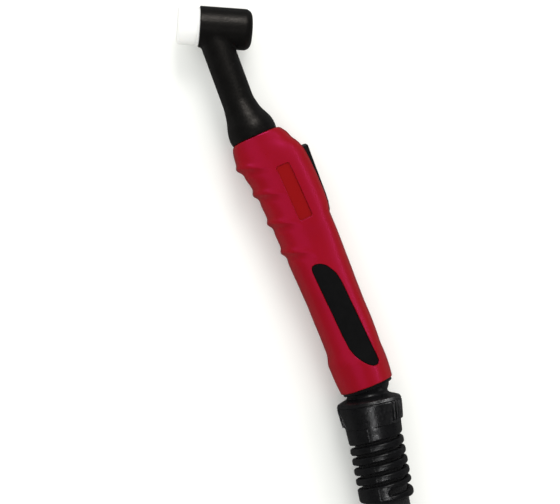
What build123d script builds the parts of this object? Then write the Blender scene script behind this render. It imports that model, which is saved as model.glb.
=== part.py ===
from build123d import *
import math
import os

# TIG torch, gas cooled, with a moulded handle, a trigger and a ball knuckle for the cable.
#
# Frame (millimetres): the origin is on the electrode axis, in the plane of the
# head's front face, where the cup gasket seats. -X is the way the nozzle points.
# The torch lies on its side: XY is its plane of symmetry and +Z is up.
# The handle and the cable run towards -Y.
#
# The neck, handle, socket and cable support each have a frame of their own: local X
# runs along the axis towards the cable, local +Y is the trigger side, Z is shared.

# clearances
FIT = 0.05                # between curved mating faces
CLOSE_FIT = 0.03
SNUG_FIT = 0.02

# ---------------------------------------------------------------- frames
NECK_X = 6.12             # where the neck's axis meets the electrode axis
NECK_ANGLE = -67.2        # this and the other angles: degrees from +X, in the XY plane
HANDLE_RIM = (31.96, -56.51)   # centre of the handle's front rim
HANDLE_ANGLE = math.degrees(math.atan2(-0.8928, 0.4504))
BALL_X, BALL_Y = 138.5, 0.45   # knuckle ball's centre in the handle
SOCKET_ANGLE = -66.1
SUPPORT_ANGLE = -76.9


def frame_at(x, y, degrees):
    angle = math.radians(degrees)
    return Plane(origin=(x, y, 0), x_dir=(math.cos(angle), math.sin(angle), 0), z_dir=(0, 0, 1))


HEAD = Plane.XY
NECK = frame_at(NECK_X, 0, NECK_ANGLE)
HANDLE = frame_at(*HANDLE_RIM, HANDLE_ANGLE)
ball_centre = HANDLE.from_local_coords(Vector(BALL_X, BALL_Y, 0))
SOCKET = frame_at(ball_centre.X, ball_centre.Y, SOCKET_ANGLE)
SUPPORT = frame_at(ball_centre.X, ball_centre.Y, SUPPORT_ANGLE)


# ---------------------------------------------------------------- basic shapes
def socket_to_handle(shape):
    """A shape given in the socket's frame, in the handle's coordinates."""
    return HANDLE.location.inverse() * (SOCKET.location * shape)


def turned(points, y=0.0):
    """A solid turned about the local X axis from (x, radius) points, then moved to y."""
    return Pos(0, y, 0) * revolve(make_face(Polyline(*points, close=True)), axis=Axis.X)


def rod(x0, x1, radius, y=0.0, z=0.0):
    """A cylinder along X."""
    return Pos((x0 + x1) / 2, y, z) * Rot(0, 90, 0) * Cylinder(radius, x1 - x0)


def stud(x, y, radius, length):
    """A cylinder along Y, centred on (x, y)."""
    return Pos(x, y, 0) * Rot(90, 0, 0) * Cylinder(radius, length)


def post(x, y, radius, z0, z1):
    """A cylinder along Z."""
    return Pos(x, y, (z0 + z1) / 2) * Cylinder(radius, z1 - z0)


def block(x0, x1, y0, y1, z0, z1):
    return Pos((x0 + x1) / 2, (y0 + y1) / 2, (z0 + z1) / 2) * Box(x1 - x0, y1 - y0, z1 - z0)


def plate(points, half_width):
    """An XY outline given thickness to both sides of the plane of symmetry."""
    return extrude(make_face(Polyline(*points, close=True)), amount=half_width, both=True)


def straight(start, end, radius):
    """A cylinder from one point to another."""
    return extrude(Plane(origin=start, z_dir=end - start) * Circle(radius),
                   amount=(end - start).length)


def fused(shapes):
    total = shapes[0]
    for shape in shapes[1:]:
        total = total + shape
    return total


# ================================================================ head and neck
HEAD_R = 10.75            # outer radius of the moulded head
HEAD_LEN = 27.5
HEAD_EDGE = 0.3           # chamfer at the front
HEAD_REAR_ROUND = 4.0
REAR_MOUTH_R = 5.9
CORE_R = 7.2
CORE_X0, CORE_X1 = 4.2, 24.0
SPIGOT_R = 6.2            # front spigot that the gasket sits round
SPIGOT_X0 = -3.0
SPIGOT_EDGE = 0.4
TAP_R = 4.33              # minor radius of the 3/8-32 thread
TAP_LEN = 10.0
CHAMBER_R = 3.0
PORT_R = 1.5
GASKET_R = 9.8
GASKET_LEN = 11.3
GASKET_GROOVE_R = GASKET_R - 0.35
GASKET_SPIGOT_R = 8.4
GASKET_SPIGOT_LEN = 4.0

NECK_R = 8.4
TUBE_R = 4.25
TUBE_BORE_R = 2.9
TUBE_START = 5.4          # along the neck axis
TUBE_END = 30.0           # along the handle
TUBE_Y = -2.0             # the tube's line inside the handle
TUBE_BEND_R = 100.0
SHANK_R = 10.0            # part of the overmould gripped inside the handle
SHANK_LEN = 20.0
SHANK_Y = -0.2

# swell in front of the handle: x in the handle, radius
SWELL_POINTS = [
    (-17, 0), (-17, 7.5), (-14, 8.9), (-12, 9.9), (-10, 10.95), (-8, 11.8),
    (-6, 12.35), (-4, 12.6), (-2, 12.6), (0, 12.3),
]


def head_core():
    core = turned([(CORE_X0, 0), (CORE_X0, CORE_R), (CORE_X1, CORE_R), (CORE_X1, 0)])
    spigot_end = CORE_X0 + 0.1
    core += turned([(SPIGOT_X0, 0), (SPIGOT_X0, SPIGOT_R - SPIGOT_EDGE),
                    (SPIGOT_X0 + SPIGOT_EDGE, SPIGOT_R), (spigot_end, SPIGOT_R), (spigot_end, 0)])
    core -= rod(SPIGOT_X0 - 1, SPIGOT_X0 + TAP_LEN, TAP_R)
    core -= rod(CORE_X1 - TAP_LEN, CORE_X1 + 1, TAP_R)
    core -= rod(0, CORE_X1 - 2, CHAMBER_R)
    core -= NECK.location * rod(TUBE_START - SNUG_FIT, 20, TUBE_R + SNUG_FIT)
    core -= NECK.location * rod(1, TUBE_START + 1, PORT_R)
    return core


def cup_gasket():
    bore_r = SPIGOT_R + FIT
    return turned([
        (-GASKET_LEN, bore_r), (-GASKET_LEN, GASKET_R - 1.0), (-GASKET_LEN + 0.3, GASKET_R - 0.35),
        (-GASKET_LEN + 1.0, GASKET_R), (-1.6, GASKET_R), (-1.6, GASKET_GROOVE_R),
        (-1.1, GASKET_GROOVE_R), (-1.1, GASKET_R), (0, GASKET_R), (0, GASKET_SPIGOT_R),
        (GASKET_SPIGOT_LEN, GASKET_SPIGOT_R), (GASKET_SPIGOT_LEN, bore_r)])


def tube_centreline():
    """Straight down the neck, then a shallow bend into the tube's line in the handle."""
    start = NECK.from_local_coords(Vector(TUBE_START, 0, 0))
    start = HANDLE.to_local_coords(start)
    further = HANDLE.to_local_coords(NECK.from_local_coords(Vector(60, 0, 0)))
    share = (TUBE_Y - start.Y) / (further.Y - start.Y)
    corner = (start.X + share * (further.X - start.X), TUBE_Y)
    return FilletPolyline((start.X, start.Y), corner, (TUBE_END, TUBE_Y), radius=TUBE_BEND_R)


tube_path = tube_centreline()


def along_tube(radius):
    """A round bar along the tube's centreline, in the handle's frame."""
    return sweep(Plane(origin=tube_path @ 0, z_dir=tube_path % 0) * Circle(radius), path=tube_path)


def neck_tube():
    return along_tube(TUBE_R) - along_tube(TUBE_BORE_R)


def head_overmould():
    """Head barrel, neck, the swell in front of the handle and the shank inside it."""
    round_x, round_r = HEAD_LEN - HEAD_REAR_ROUND, HEAD_R - HEAD_REAR_ROUND
    rear_round = [(round_x + HEAD_REAR_ROUND * math.sin(angle),
                   round_r + HEAD_REAR_ROUND * math.cos(angle))
                  for angle in [math.radians(degrees) for degrees in range(15, 91, 15)]]
    head = turned([(0, 0), (0, HEAD_R - HEAD_EDGE), (HEAD_EDGE, HEAD_R), (round_x, HEAD_R)]
                  + rear_round + [(HEAD_LEN, 0)])
    neck = NECK.location * rod(0.5, 56, NECK_R)
    swell = HANDLE.location * turned(
        SWELL_POINTS + [(0, SHANK_R), (SHANK_LEN, SHANK_R), (SHANK_LEN, 0)], SHANK_Y)
    overmould = head + neck + swell
    overmould -= block(-20, 0, -30, 12, -12, 12)      # nothing stands ahead of the front face
    overmould -= rod(CORE_X0 - FIT, CORE_X1, CORE_R + FIT)
    overmould -= rod(-1, GASKET_SPIGOT_LEN + 0.2, GASKET_SPIGOT_R + FIT)
    overmould -= rod(CORE_X1 - 1, HEAD_LEN + 1, REAR_MOUTH_R)
    overmould -= HANDLE.location * along_tube(TUBE_R + FIT)
    return overmould


# ================================================================ joint and hose in the handle
ADAPTER_R = 5.2
ADAPTER_NOSE_R = 4.6
NUT_X, NUT_HALF_LEN, NUT_CORNER_R = 48.5, 5.5, 6.3
NIPPLE_R = 3.0
HOSE_R = 5.5
STRAND_R = 3.2
HOSE_BORE_R = STRAND_R + FIT
HOSE_X0, HOSE_X1 = 57.8, 126.5
FERRULE_R, FERRULE_GROOVE_R = 6.2, 6.05

# nipple with its three barbs: x, radius
NIPPLE_POINTS = [
    (47.3, 1.8), (47.3, 3.4), (49.6, 4.5), (51.3, 4.5), (51.3, NIPPLE_R), (57.5, NIPPLE_R),
    (57.5, 2.6), (58.1, 3.15), (60.0, 2.6), (60.6, 3.15), (62.5, 2.6), (63.1, 3.15),
    (65.5, 2.6), (65.5, 1.8),
]


def tube_adapter():
    socket_r = TUBE_R + SNUG_FIT
    return turned([
        (TUBE_END - 6, socket_r), (TUBE_END - 6, ADAPTER_R), (TUBE_END + 5, ADAPTER_R),
        (TUBE_END + 5, ADAPTER_NOSE_R), (TUBE_END + 15, ADAPTER_NOSE_R), (TUBE_END + 17, 3.6),
        (TUBE_END + 17, 2.0), (TUBE_END + SNUG_FIT, 2.0), (TUBE_END + SNUG_FIT, socket_r)], TUBE_Y)


def union_nut():
    hexagon = extrude(RegularPolygon(NUT_CORNER_R, 6), amount=NUT_HALF_LEN, both=True)
    nut = Pos(NUT_X, TUBE_Y, 0) * Rot(0, 90, 0) * hexagon
    return (nut - rod(42.0, 52.0, ADAPTER_NOSE_R + FIT, TUBE_Y)
            - rod(51.5, 55.0, NIPPLE_R + FIT, TUBE_Y))


def hose(x0, x1, y):
    return rod(x0, x1, HOSE_R, y) - rod(x0 - 1, x1 + 1, HOSE_BORE_R, y)


def crimp_ferrule():
    points = [(57.9, HOSE_R + CLOSE_FIT), (57.9, FERRULE_R)]
    for x in (59.2, 62.2):                            # two grooves, 1 mm wide
        points += [(x, FERRULE_R), (x, FERRULE_GROOVE_R),
                   (x + 1, FERRULE_GROOVE_R), (x + 1, FERRULE_R)]
    return turned(points + [(66, FERRULE_R), (66, HOSE_R + CLOSE_FIT)], TUBE_Y)


# ================================================================ handle shells
WALL = 2.4
SECTION_X0, SECTION_STEP = -4.1, 8.1   # loft sections, spaced by the finger ribs
SECTION_COUNT = 20
SECTION_POINTS = 20
REACH = 60                # beyond the handle on every side

# handle outline: x, trigger side y, finger side y, half width, squareness
STATIONS = [
    (-6.0, 9.9, -10.2, 12.2, 2.2),
    (0.0, 13.9, -12.6, 12.9, 2.2),
    (3.0, 16.0, -14.0, 13.3, 2.25),
    (7.0, 17.3, -15.0, 13.7, 2.3),
    (12.0, 19.8, -16.1, 14.1, 2.35),
    (17.0, 21.0, -14.1, 14.6, 2.4),
    (22.5, 21.25, -12.5, 14.9, 2.4),
    (27.7, 21.35, -13.4, 15.0, 2.4),
    (33.0, 21.4, -11.85, 15.0, 2.4),
    (39.0, 21.2, -11.65, 15.0, 2.4),
    (44.4, 20.85, -12.75, 15.0, 2.4),
    (50.0, 19.7, -11.4, 14.95, 2.4),
    (56.0, 19.25, -11.25, 14.9, 2.4),
    (61.0, 19.15, -12.5, 14.8, 2.4),
    (66.0, 19.0, -11.05, 14.7, 2.4),
    (80.0, 18.35, -11.05, 14.4, 2.4),
    (100.0, 17.2, -11.45, 14.0, 2.35),
    (112.0, 16.9, -11.8, 13.8, 2.3),
    (119.0, 16.3, -12.2, 13.9, 2.2),
    (123.0, 15.95, -13.5, 14.3, 2.1),
    (128.0, 15.5, -14.9, 14.7, 2.05),
    (134.0, 15.1, -14.6, 14.7, 2.0),
    (140.0, 14.55, -13.8, 14.2, 2.0),
    (152.0, 13.8, -13.2, 13.7, 2.0),
]

PIVOT_X, PIVOT_Y = 46.0, 16.5
PIN_R = 1.5
PIN_HALF_LEN = 9.4
TRIGGER_HALF = 6.0        # half width
OPENING_HALF = TRIGGER_HALF + 0.15

SCREWS = [(7.5, 13.2, 5.6), (57.0, 13.4, 8.4), (88.0, 13.1, 6.4), (126.0, -10.65, 3.8)]
# each screw: x, y, depth of the head's seat below the parting plane
SCREW_R = 1.25
SCREW_HEAD_R, SCREW_HEAD_LEN = 2.2, 1.5
SCREW_TIP_Z = 5.5
BOSS_R = 3.1

RECESS_X, RECESS_Y, RECESS_LEN, RECESS_WIDTH = 34.3, 5.0, 30.2, 7.4
RECESS_DEPTH = 0.9
INLAY_POCKET_DEPTH = 1.1
INLAY_UNDER = 0.9         # depth of the inlay's underside
INLAY_SUNK = 0.3          # depth of its outer face
INLAY_MID = (102.7, 3.1)

# inlay outline on the side, end to end: two points make a line, more a spline
INLAY_EDGES = [
    [(76.3, -3.4), (115.0, -2.6)],
    [(115.0, -2.6), (120.4, -2.1), (125.6, -0.4), (129.8, 2.4), (132.3, 5.3)],
    [(132.3, 5.3), (132.6, 7.7), (131.4, 9.2), (128.5, 9.65)],
    [(128.5, 9.65), (88.8, 8.6)],
    [(88.8, 8.6), (84.0, 8.25), (79.6, 7.0), (75.4, 4.5), (73.2, 1.5)],
    [(73.2, 1.5), (72.9, -1.3), (73.9, -2.9), (76.3, -3.4)],
]

RIM_X = 2.9               # rear rim of the handle, in the socket's frame
RING_R = 13.4
RING_MOUTH_R = 11.3
RING_X0, RING_X1 = -7.5, 4.5
RING_BEAD_R = 13.9
RING_BEAD_X0, RING_BEAD_X1 = -5.0, -3.0


def section_at(x):
    """The STATIONS row at x, interpolated."""
    for before, after in zip(STATIONS, STATIONS[1:]):
        if before[0] <= x <= after[0]:
            share = (x - before[0]) / (after[0] - before[0])
            return [low + (high - low) * share for low, high in zip(before, after)]


def handle_body(inset, x0=None, x1=None):
    """The handle's outer form, drawn in by inset; whole, or from x0 to x1."""
    places = [SECTION_X0 + SECTION_STEP * i for i in range(SECTION_COUNT)]
    if x0 is not None:
        places = [x0] + [x for x in places if x0 + 3.0 < x < x1 - 3.0] + [x1]
    faces = []
    for x in places:
        _, top, bottom, half_width, squareness = section_at(x)
        middle, half_y, half_z = (top + bottom) / 2, (top - bottom) / 2 - inset, half_width - inset
        power = 2 / squareness
        points = []
        for i in range(SECTION_POINTS):
            angle = 2 * math.pi * i / SECTION_POINTS
            cosine, sine = math.cos(angle), math.sin(angle)
            points.append((x, middle + half_y * math.copysign(abs(cosine) ** power, cosine),
                           half_z * math.copysign(abs(sine) ** power, sine)))
        faces.append(make_face(Spline(*points, periodic=True)))
    return loft(faces)


upper_half = block(-10, 160, -REACH, REACH, 0, REACH)
lower_half = block(-10, 160, -REACH, REACH, -REACH, 0)


def inlay_prism(scale_x, scale_y):
    """The inlay's outline, scaled about its middle, carried through the handle."""
    mid_x, mid_y = INLAY_MID
    edges = []
    for edge in INLAY_EDGES:
        points = [(mid_x + scale_x * (x - mid_x), mid_y + scale_y * (y - mid_y)) for x, y in edge]
        edges.append(Line(*points) if len(points) == 2 else Spline(*points))
    return extrude(make_face(Curve() + edges), amount=30, both=True)


def socket_room():
    """Room for the socket ring and its bead, in the socket's frame."""
    groove_x0, groove_x1 = RING_BEAD_X0 - FIT, RING_BEAD_X1 + FIT
    ring_r, groove_r = RING_R + FIT, RING_BEAD_R + FIT
    step_x = RING_X0 - 0.2
    return turned([
        (-14, 0), (-14, RING_MOUTH_R), (step_x, RING_MOUTH_R), (step_x, ring_r),
        (groove_x0, ring_r), (groove_x0, groove_r), (groove_x1, groove_r), (groove_x1, ring_r),
        (10, ring_r), (10, 0)])


def handle_shells():
    """The left (+Z) and right (-Z) shells."""
    outer = handle_body(0)
    outer &= socket_to_handle(block(-200, RIM_X, -REACH, REACH, -REACH, REACH))
    outer &= block(0, 160, -REACH, REACH, -REACH, REACH)
    shell = outer - handle_body(WALL, SHANK_LEN + 0.5, 129.0)
    shell -= rod(-5, 22, SHANK_R + FIT, SHANK_Y)
    shell -= socket_to_handle(socket_room())

    # trigger opening and the room under its front end
    shell -= block(13.0, 51.3, 14.0, 30, -OPENING_HALF, OPENING_HALF)
    shell -= block(13.0, 21.5, 9.9, 30, -OPENING_HALF, OPENING_HALF)

    # bosses for the trigger pin and for all screws but the front one
    bosses = post(PIVOT_X, PIVOT_Y, 3.0, 6.2, 14) + post(PIVOT_X, PIVOT_Y, 3.0, -14, -6.2)
    for x, y, _ in SCREWS[1:]:
        bosses += post(x, y, BOSS_R, -14, 14)
    shell += bosses & outer
    shell -= post(PIVOT_X, PIVOT_Y, PIN_R + CLOSE_FIT, -PIN_HALF_LEN - 0.2, PIN_HALF_LEN + 0.2)

    # side recesses and inlay pockets
    recess = Pos(RECESS_X, RECESS_Y, 0) * extrude(
        RectangleRounded(RECESS_LEN, RECESS_WIDTH, 1.3), amount=30, both=True)
    shell -= recess - handle_body(RECESS_DEPTH)
    shell -= inlay_prism(1.0, 1.0) - handle_body(INLAY_POCKET_DEPTH)

    left = shell & upper_half
    right = shell & lower_half
    for x, y, depth in SCREWS:
        right -= post(x, y, SCREW_R + 0.05, -40, 1)
        right -= post(x, y, SCREW_HEAD_R + 0.15, -40, -depth)
        left -= post(x, y, SCREW_R + SNUG_FIT, -1, SCREW_TIP_Z + 0.3)
    return left, right


def shell_screw(x, y, depth):
    head_z = -depth - SCREW_HEAD_LEN
    screw = post(x, y, SCREW_R, -depth - 0.1, SCREW_TIP_Z)
    screw += post(x, y, SCREW_HEAD_R, head_z, -depth)
    return screw - Pos(x, y, head_z) * extrude(RegularPolygon(1.15, 6), amount=0.9)


def grip_inlays():
    """The left (+Z) and right (-Z) inlays."""
    inlays = (inlay_prism(0.9955, 0.975) & handle_body(INLAY_SUNK)) - handle_body(INLAY_UNDER)
    return inlays & upper_half, inlays & lower_half


# ================================================================ trigger and switch
# trigger side view: x, y
TRIGGER_OUTLINE = [
    (13.3, 17.2), (13.3, 20.5), (13.4, 21.9), (13.8, 22.6), (14.4, 22.95), (17, 22.85),
    (20, 22.6), (26, 22.2), (30, 21.97), (34, 21.7), (38, 21.45), (42, 21.2), (45.5, 20.8),
    (48.0, 20.2), (50.2, 19.7), (50.8, 19.2), (50.8, 18.0), (46, 17.6), (46, 15.6), (40, 16.6),
]
TRIGGER_HOLLOW = [(15.2, 15.0), (15.2, 20.0), (45.5, 18.9), (49.4, 18.2), (49.4, 15.0)]
HOLLOW_HALF = 5.1
NOSE_X, NOSE_R, NOSE_HALF = 27.0, 1.6, 2   # rounded nose that meets the plunger
PLUNGER_Y0, PLUNGER_Y1 = 12.2, 16.3
NOSE_Y = PLUNGER_Y1 + NOSE_R + CLOSE_FIT

SWITCH_SCREW_XS, SWITCH_SCREW_Y = (26.7, 36.2), 7.4
SWITCH_SCREW_R = 1.0
SWITCH_HOLE_R = SWITCH_SCREW_R + FIT
CASE_X1 = 41.4
TERMINAL_YS = (6.2, 9.6, 13.0)

CHEEK_Z, CHEEK_THICK = 3.3, 1.5
FRAME_HALF = CHEEK_Z + CHEEK_THICK
# switch frame's side cheek: x, y
CHEEK_OUTLINE = [
    (14.6, 10.4), (14.6, 12.2), (21.0, 12.2), (21.0, 14.4), (42.5, 14.4), (42.9, PIVOT_Y + 1.9),
    (48.9, PIVOT_Y + 1.5), (48.9, 5.0), (21.0, 5.0), (21.0, 10.4),
]

SPRING_X, SPRING_Y0, SPRING_Y1 = 18.1, 11.2, 19.7
SPRING_R, SPRING_WIRE_R = 2.3, 0.28
SPRING_TURNS = 5.5

LEAD_R = 1.9
LEAD_START, LEAD_END = Vector(54.0, 8.3, 0), Vector(126.5, 6.3, 0)
CONTROL_WIRE_R = 0.5
CONTROL_WIRES = [         # x, y along each wire
    [(45.3, 9.6), (53.9, 9.2)],
    [(45.3, 6.2), (46.9, 6.9), (48.0, 7.6), (53.9, 7.6)],
]


def trigger_lever():
    lever = plate(TRIGGER_OUTLINE, TRIGGER_HALF)
    lever -= plate(TRIGGER_HOLLOW, HOLLOW_HALF)
    lever += (post(PIVOT_X, PIVOT_Y, 3.1, HOLLOW_HALF, TRIGGER_HALF)
              + post(PIVOT_X, PIVOT_Y, 3.1, -TRIGGER_HALF, -HOLLOW_HALF))
    lever += block(NOSE_X - NOSE_R, NOSE_X + NOSE_R, NOSE_Y, 20.2, -NOSE_HALF, NOSE_HALF)
    lever += post(NOSE_X, NOSE_Y, NOSE_R, -NOSE_HALF, NOSE_HALF)
    lever -= post(PIVOT_X, PIVOT_Y, PIN_R + CLOSE_FIT, -10, 10)
    return lever


def microswitch_case():
    case = block(21.6, CASE_X1, 4.6, 14.8, -3.2, 3.2)
    case -= fused([post(x, SWITCH_SCREW_Y, SWITCH_HOLE_R, -5, 5) for x in SWITCH_SCREW_XS])
    case -= stud(NOSE_X, 13.0, 1.25, 6.5)             # plunger hole
    return case


def microswitch_plunger():
    return stud(NOSE_X, (PLUNGER_Y0 + PLUNGER_Y1) / 2, 1.2, PLUNGER_Y1 - PLUNGER_Y0)


def switch_terminal(y):
    return block(CASE_X1, 45.2, y - 0.25, y + 0.25, -1.4, 1.4) - stud(44.2, y, 0.55, 2)


def switch_frame():
    cheek = make_face(Polyline(*CHEEK_OUTLINE, close=True))
    frame = (Pos(0, 0, CHEEK_Z) * extrude(cheek, amount=CHEEK_THICK)
             + Pos(0, 0, -FRAME_HALF) * extrude(cheek, amount=CHEEK_THICK))
    frame += block(14.6, 20.6, 10.4, 11.2, -FRAME_HALF, FRAME_HALF)   # shelf under the spring
    frame += block(47.4, 48.9, 5.0, 13.6, -FRAME_HALF, FRAME_HALF)    # rear wall
    frame -= post(PIVOT_X, PIVOT_Y, PIN_R + CLOSE_FIT, -10, 10)
    frame -= rod(45, 51, 3.0, 9.0)                    # hole in the rear wall
    for x in SWITCH_SCREW_XS:
        frame -= post(x, SWITCH_SCREW_Y, SWITCH_HOLE_R, -6, 6)
    return frame


def switch_screw(x):
    screw = post(x, SWITCH_SCREW_Y, SWITCH_SCREW_R, -5.2, 5.0)
    screw += post(x, SWITCH_SCREW_Y, 1.9, 4.85, 6.1)
    return screw - block(x - 1.6, x + 1.6, SWITCH_SCREW_Y - 0.25, SWITCH_SCREW_Y + 0.25, 5.5, 7)


def return_spring():
    """Round wire, wound along the press direction (local Y)."""
    end_gap = SPRING_WIRE_R + SNUG_FIT
    height = SPRING_Y1 - SPRING_Y0 - 2 * end_gap
    coil = Helix(pitch=height / SPRING_TURNS, height=height, radius=SPRING_R)
    section = Plane(origin=coil @ 0, z_dir=coil % 0) * Circle(SPRING_WIRE_R)
    spring = sweep(section, path=coil, is_frenet=True)
    return Pos(SPRING_X, SPRING_Y0 + end_gap, 0) * Rot(-90, 0, 0) * spring


def control_wire(points):
    return fused([straight(Vector(*start, 0), Vector(*end, 0), CONTROL_WIRE_R)
                  for start, end in zip(points, points[1:])])


# ================================================================ knuckle, in x from the ball centre
BALL_R = 12.6
BALL_X0, BALL_X1 = -7.0, 6.49
BALL_BORE_R = 8.2
BALL_NECK_R = 10.8
TAIL_R = 10.2
TAIL_LIP_R = 10.9


def socket_ring():
    ring = turned([
        (RING_X0, RING_MOUTH_R), (RING_X0, RING_R), (RING_BEAD_X0, RING_R),
        (RING_BEAD_X0, RING_BEAD_R), (RING_BEAD_X1, RING_BEAD_R), (RING_BEAD_X1, RING_R),
        (RING_X1 - 0.4, RING_R), (RING_X1, RING_R - 0.35), (RING_X1, 12.75), (3.3, 12.21),
        (3.3, 10.5), (-6.0, 10.5), (-6.0, RING_MOUTH_R)])
    ring -= Sphere(BALL_R + FIT)
    ring -= block(-20, 20, -20, 0, -0.6, 0.6)         # slit on the finger side
    return ring


def knuckle_ball():
    ball = Sphere(BALL_R) & block(BALL_X0, BALL_X1, -20, 20, -20, 20)
    ball += turned([
        (5.5, 0), (5.5, 10.7), (BALL_X1, BALL_NECK_R), (7.4, 10.9), (8.3, 11.5), (8.3, TAIL_R),
        (17.0, TAIL_R), (17.05, TAIL_LIP_R), (17.6, TAIL_LIP_R), (18.5, 10.1), (18.5, 0)])
    ball -= rod(BALL_X0 - 1, 20, BALL_BORE_R)
    ball -= turned([(BALL_X0 - 0.1, 8.0), (BALL_X0 - 0.1, 9.6), (BALL_X0 + 1.2, BALL_BORE_R),
                    (BALL_X0 + 1.2, 8.0)])            # bevelled mouth
    ball -= block(12, 20, -0.75, 0.75, -20, 20) + block(12, 20, -20, 20, -0.75, 0.75)
    return ball


# ================================================================ cable support, same origin
COLLAR_RIB_R = 17.05
RIB_GROUPS = (25.0, 205.0)       # middle of each group of ribs, degrees from the trigger side
RIB_SPAN = 32.8                  # to each side of the middle
RIB_STEP = 8.2
SLEEVE_R, SLEEVE_BORE_R = 14.3, 12.0
SLEEVE_END = 62.6
SLOT_PITCH = 5.25
SLOT_WIDTH = 1.55
SLOT_START = 29.08               # the slot starts on the -Z side
SLOT_TURNS = 5.5
COVER_R, COVER_BORE_R = 11.5, 10.05
COVER_END = 96.0
HOSE_REAR_Y = -1.5
HOSE_REAR_END = 104
LEAD_REAR_Y = 6.0
CORE_Z = 0.78                    # the control cores lie side by side in Z

# collar section: x, radius
COLLAR_POINTS = [
    (8.35, TAIL_R + FIT), (8.35, 11.6), (9.2, 13.4), (10.2, 16.3), (10.7, 16.8), (11.4, 16.95),
    (12.6, 16.95), (16.0, 16.2), (19.0, 15.6), (22.6, 14.92), (23.6, 14.75), (23.6, 13.55),
    (21.0, 13.55), (21.0, 10.0), (31.0, 10.0), (31.0, 8.6), (18.8, 8.6),
    (18.8, TAIL_LIP_R + 0.1), (17.0, TAIL_LIP_R + 0.1), (17.0, TAIL_R + FIT),
]
# ring that the grip ribs are cut from: x, radius
RIB_RING_POINTS = [
    (12.0, 14.4), (12.0, COLLAR_RIB_R), (12.6, COLLAR_RIB_R), (16.2, 16.83), (19.2, 16.48),
    (22.4, 16.0), (22.4, 14.4),
]
# sleeve section: x, radius
SLEEVE_POINTS = [
    (21.1, SLEEVE_BORE_R), (21.1, 13.5), (23.9, 13.5), (23.9, 14.2), (24.3, 14.6), (27.0, 14.6),
    (30.0, 14.25), (31, SLEEVE_R), (60.0, SLEEVE_R), (61.4, 14.0), (62.3, 13.3),
    (SLEEVE_END, 12.5), (SLEEVE_END, SLEEVE_BORE_R),
]


def collar_nut():
    collar = turned(COLLAR_POINTS)
    rib_ring = turned(RIB_RING_POINTS)
    for middle in RIB_GROUPS:
        corners = [(0, 0)]
        for degrees in (middle - RIB_SPAN, middle, middle + RIB_SPAN):
            angle = math.radians(degrees)
            corners.append((30 * math.cos(angle), 30 * math.sin(angle)))
        sector = Plane.YZ * make_face(Polyline(*corners, close=True))
        pad = rib_ring & extrude(sector, amount=40)
        for i in range(-3, 4):                        # grooves between the ribs
            pad -= Rot(middle + i * RIB_STEP, 0, 0) * block(11, 24, 14.2, 30, -0.5, 0.5)
        collar += pad
    return collar


def bend_relief_sleeve():
    """Sleeve with a helical slot through its wall."""
    start = Plane(origin=(SLOT_START, 0, 0), x_dir=(0, 0, -1), z_dir=(1, 0, 0))
    path = start * Helix(pitch=SLOT_PITCH, height=SLOT_PITCH * SLOT_TURNS, radius=13.2)
    section = (Plane(origin=path @ 0, x_dir=(0, 0, -1), z_dir=path % 0)
               * Rectangle(5.0, SLOT_WIDTH))
    return turned(SLEEVE_POINTS) - sweep(section, path=path, is_frenet=True)


def band(x0, x1, inner_r, outer_r):
    """A plain tube along X."""
    return turned([(x0, inner_r), (x0, outer_r), (x1, outer_r), (x1, inner_r)])


def strands_rear():
    """Strands, thinner inside the hose than beyond its end."""
    return (rod(-3.5, HOSE_REAR_END, STRAND_R - 0.2, HOSE_REAR_Y)
            + rod(HOSE_REAR_END, 112, STRAND_R, HOSE_REAR_Y))


# ================================================================ write
left_shell, right_shell = handle_shells()
left_inlay, right_inlay = grip_inlays()

PIECES = [                # frame, and the pieces given in it
    (HEAD, {
        "head_core": head_core(),
        "cup_gasket": cup_gasket(),
        "head_overmould": head_overmould(),
    }),
    (HANDLE, {
        "neck_tube": neck_tube(),
        "tube_adapter": tube_adapter(),
        "union_nut": union_nut(),
        "cable_nipple": turned(NIPPLE_POINTS, TUBE_Y),
        "power_hose_front": hose(HOSE_X0, HOSE_X1, TUBE_Y),
        "power_strands_front": rod(65.9, HOSE_X1 - 0.5, STRAND_R, TUBE_Y),
        "crimp_ferrule": crimp_ferrule(),
        "handle_shell_left": left_shell,
        "handle_shell_right": right_shell,
        "shell_screws": fused([shell_screw(*screw) for screw in SCREWS]),
        "grip_inlay_left": left_inlay,
        "grip_inlay_right": right_inlay,
        "trigger_lever": trigger_lever(),
        "trigger_pin": post(PIVOT_X, PIVOT_Y, PIN_R, -PIN_HALF_LEN, PIN_HALF_LEN),
        "microswitch_case": microswitch_case(),
        "microswitch_plunger": microswitch_plunger(),
        "microswitch_terminals": fused([switch_terminal(y) for y in TERMINAL_YS]),
        "switch_frame": switch_frame(),
        "switch_screws": fused([switch_screw(x) for x in SWITCH_SCREW_XS]),
        "return_spring": return_spring(),
        "control_lead_front": straight(LEAD_START, LEAD_END, LEAD_R),
        "control_wires": fused([control_wire(points) for points in CONTROL_WIRES]),
    }),
    (SOCKET, {"socket_ring": socket_ring()}),
    (SUPPORT, {
        "knuckle_ball": knuckle_ball(),
        "collar_nut": collar_nut(),
        "bend_relief_sleeve": bend_relief_sleeve(),
        "cable_cover": band(21.4, COVER_END, COVER_BORE_R, COVER_R),
        "cover_clamp": band(24.4, 28.6, COVER_R + CLOSE_FIT, 11.9),
        "power_hose_rear": hose(-4, HOSE_REAR_END, HOSE_REAR_Y),
        "power_strands_rear": strands_rear(),
        "control_lead_rear": rod(-3, 106, LEAD_R, LEAD_REAR_Y) - rod(101, 107, 1.6, LEAD_REAR_Y),
        "control_cores_rear": (rod(101.1, 112, 0.7, LEAD_REAR_Y, CORE_Z)
                               + rod(101.1, 113, 0.7, LEAD_REAR_Y, -CORE_Z)),
    }),
]

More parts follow.
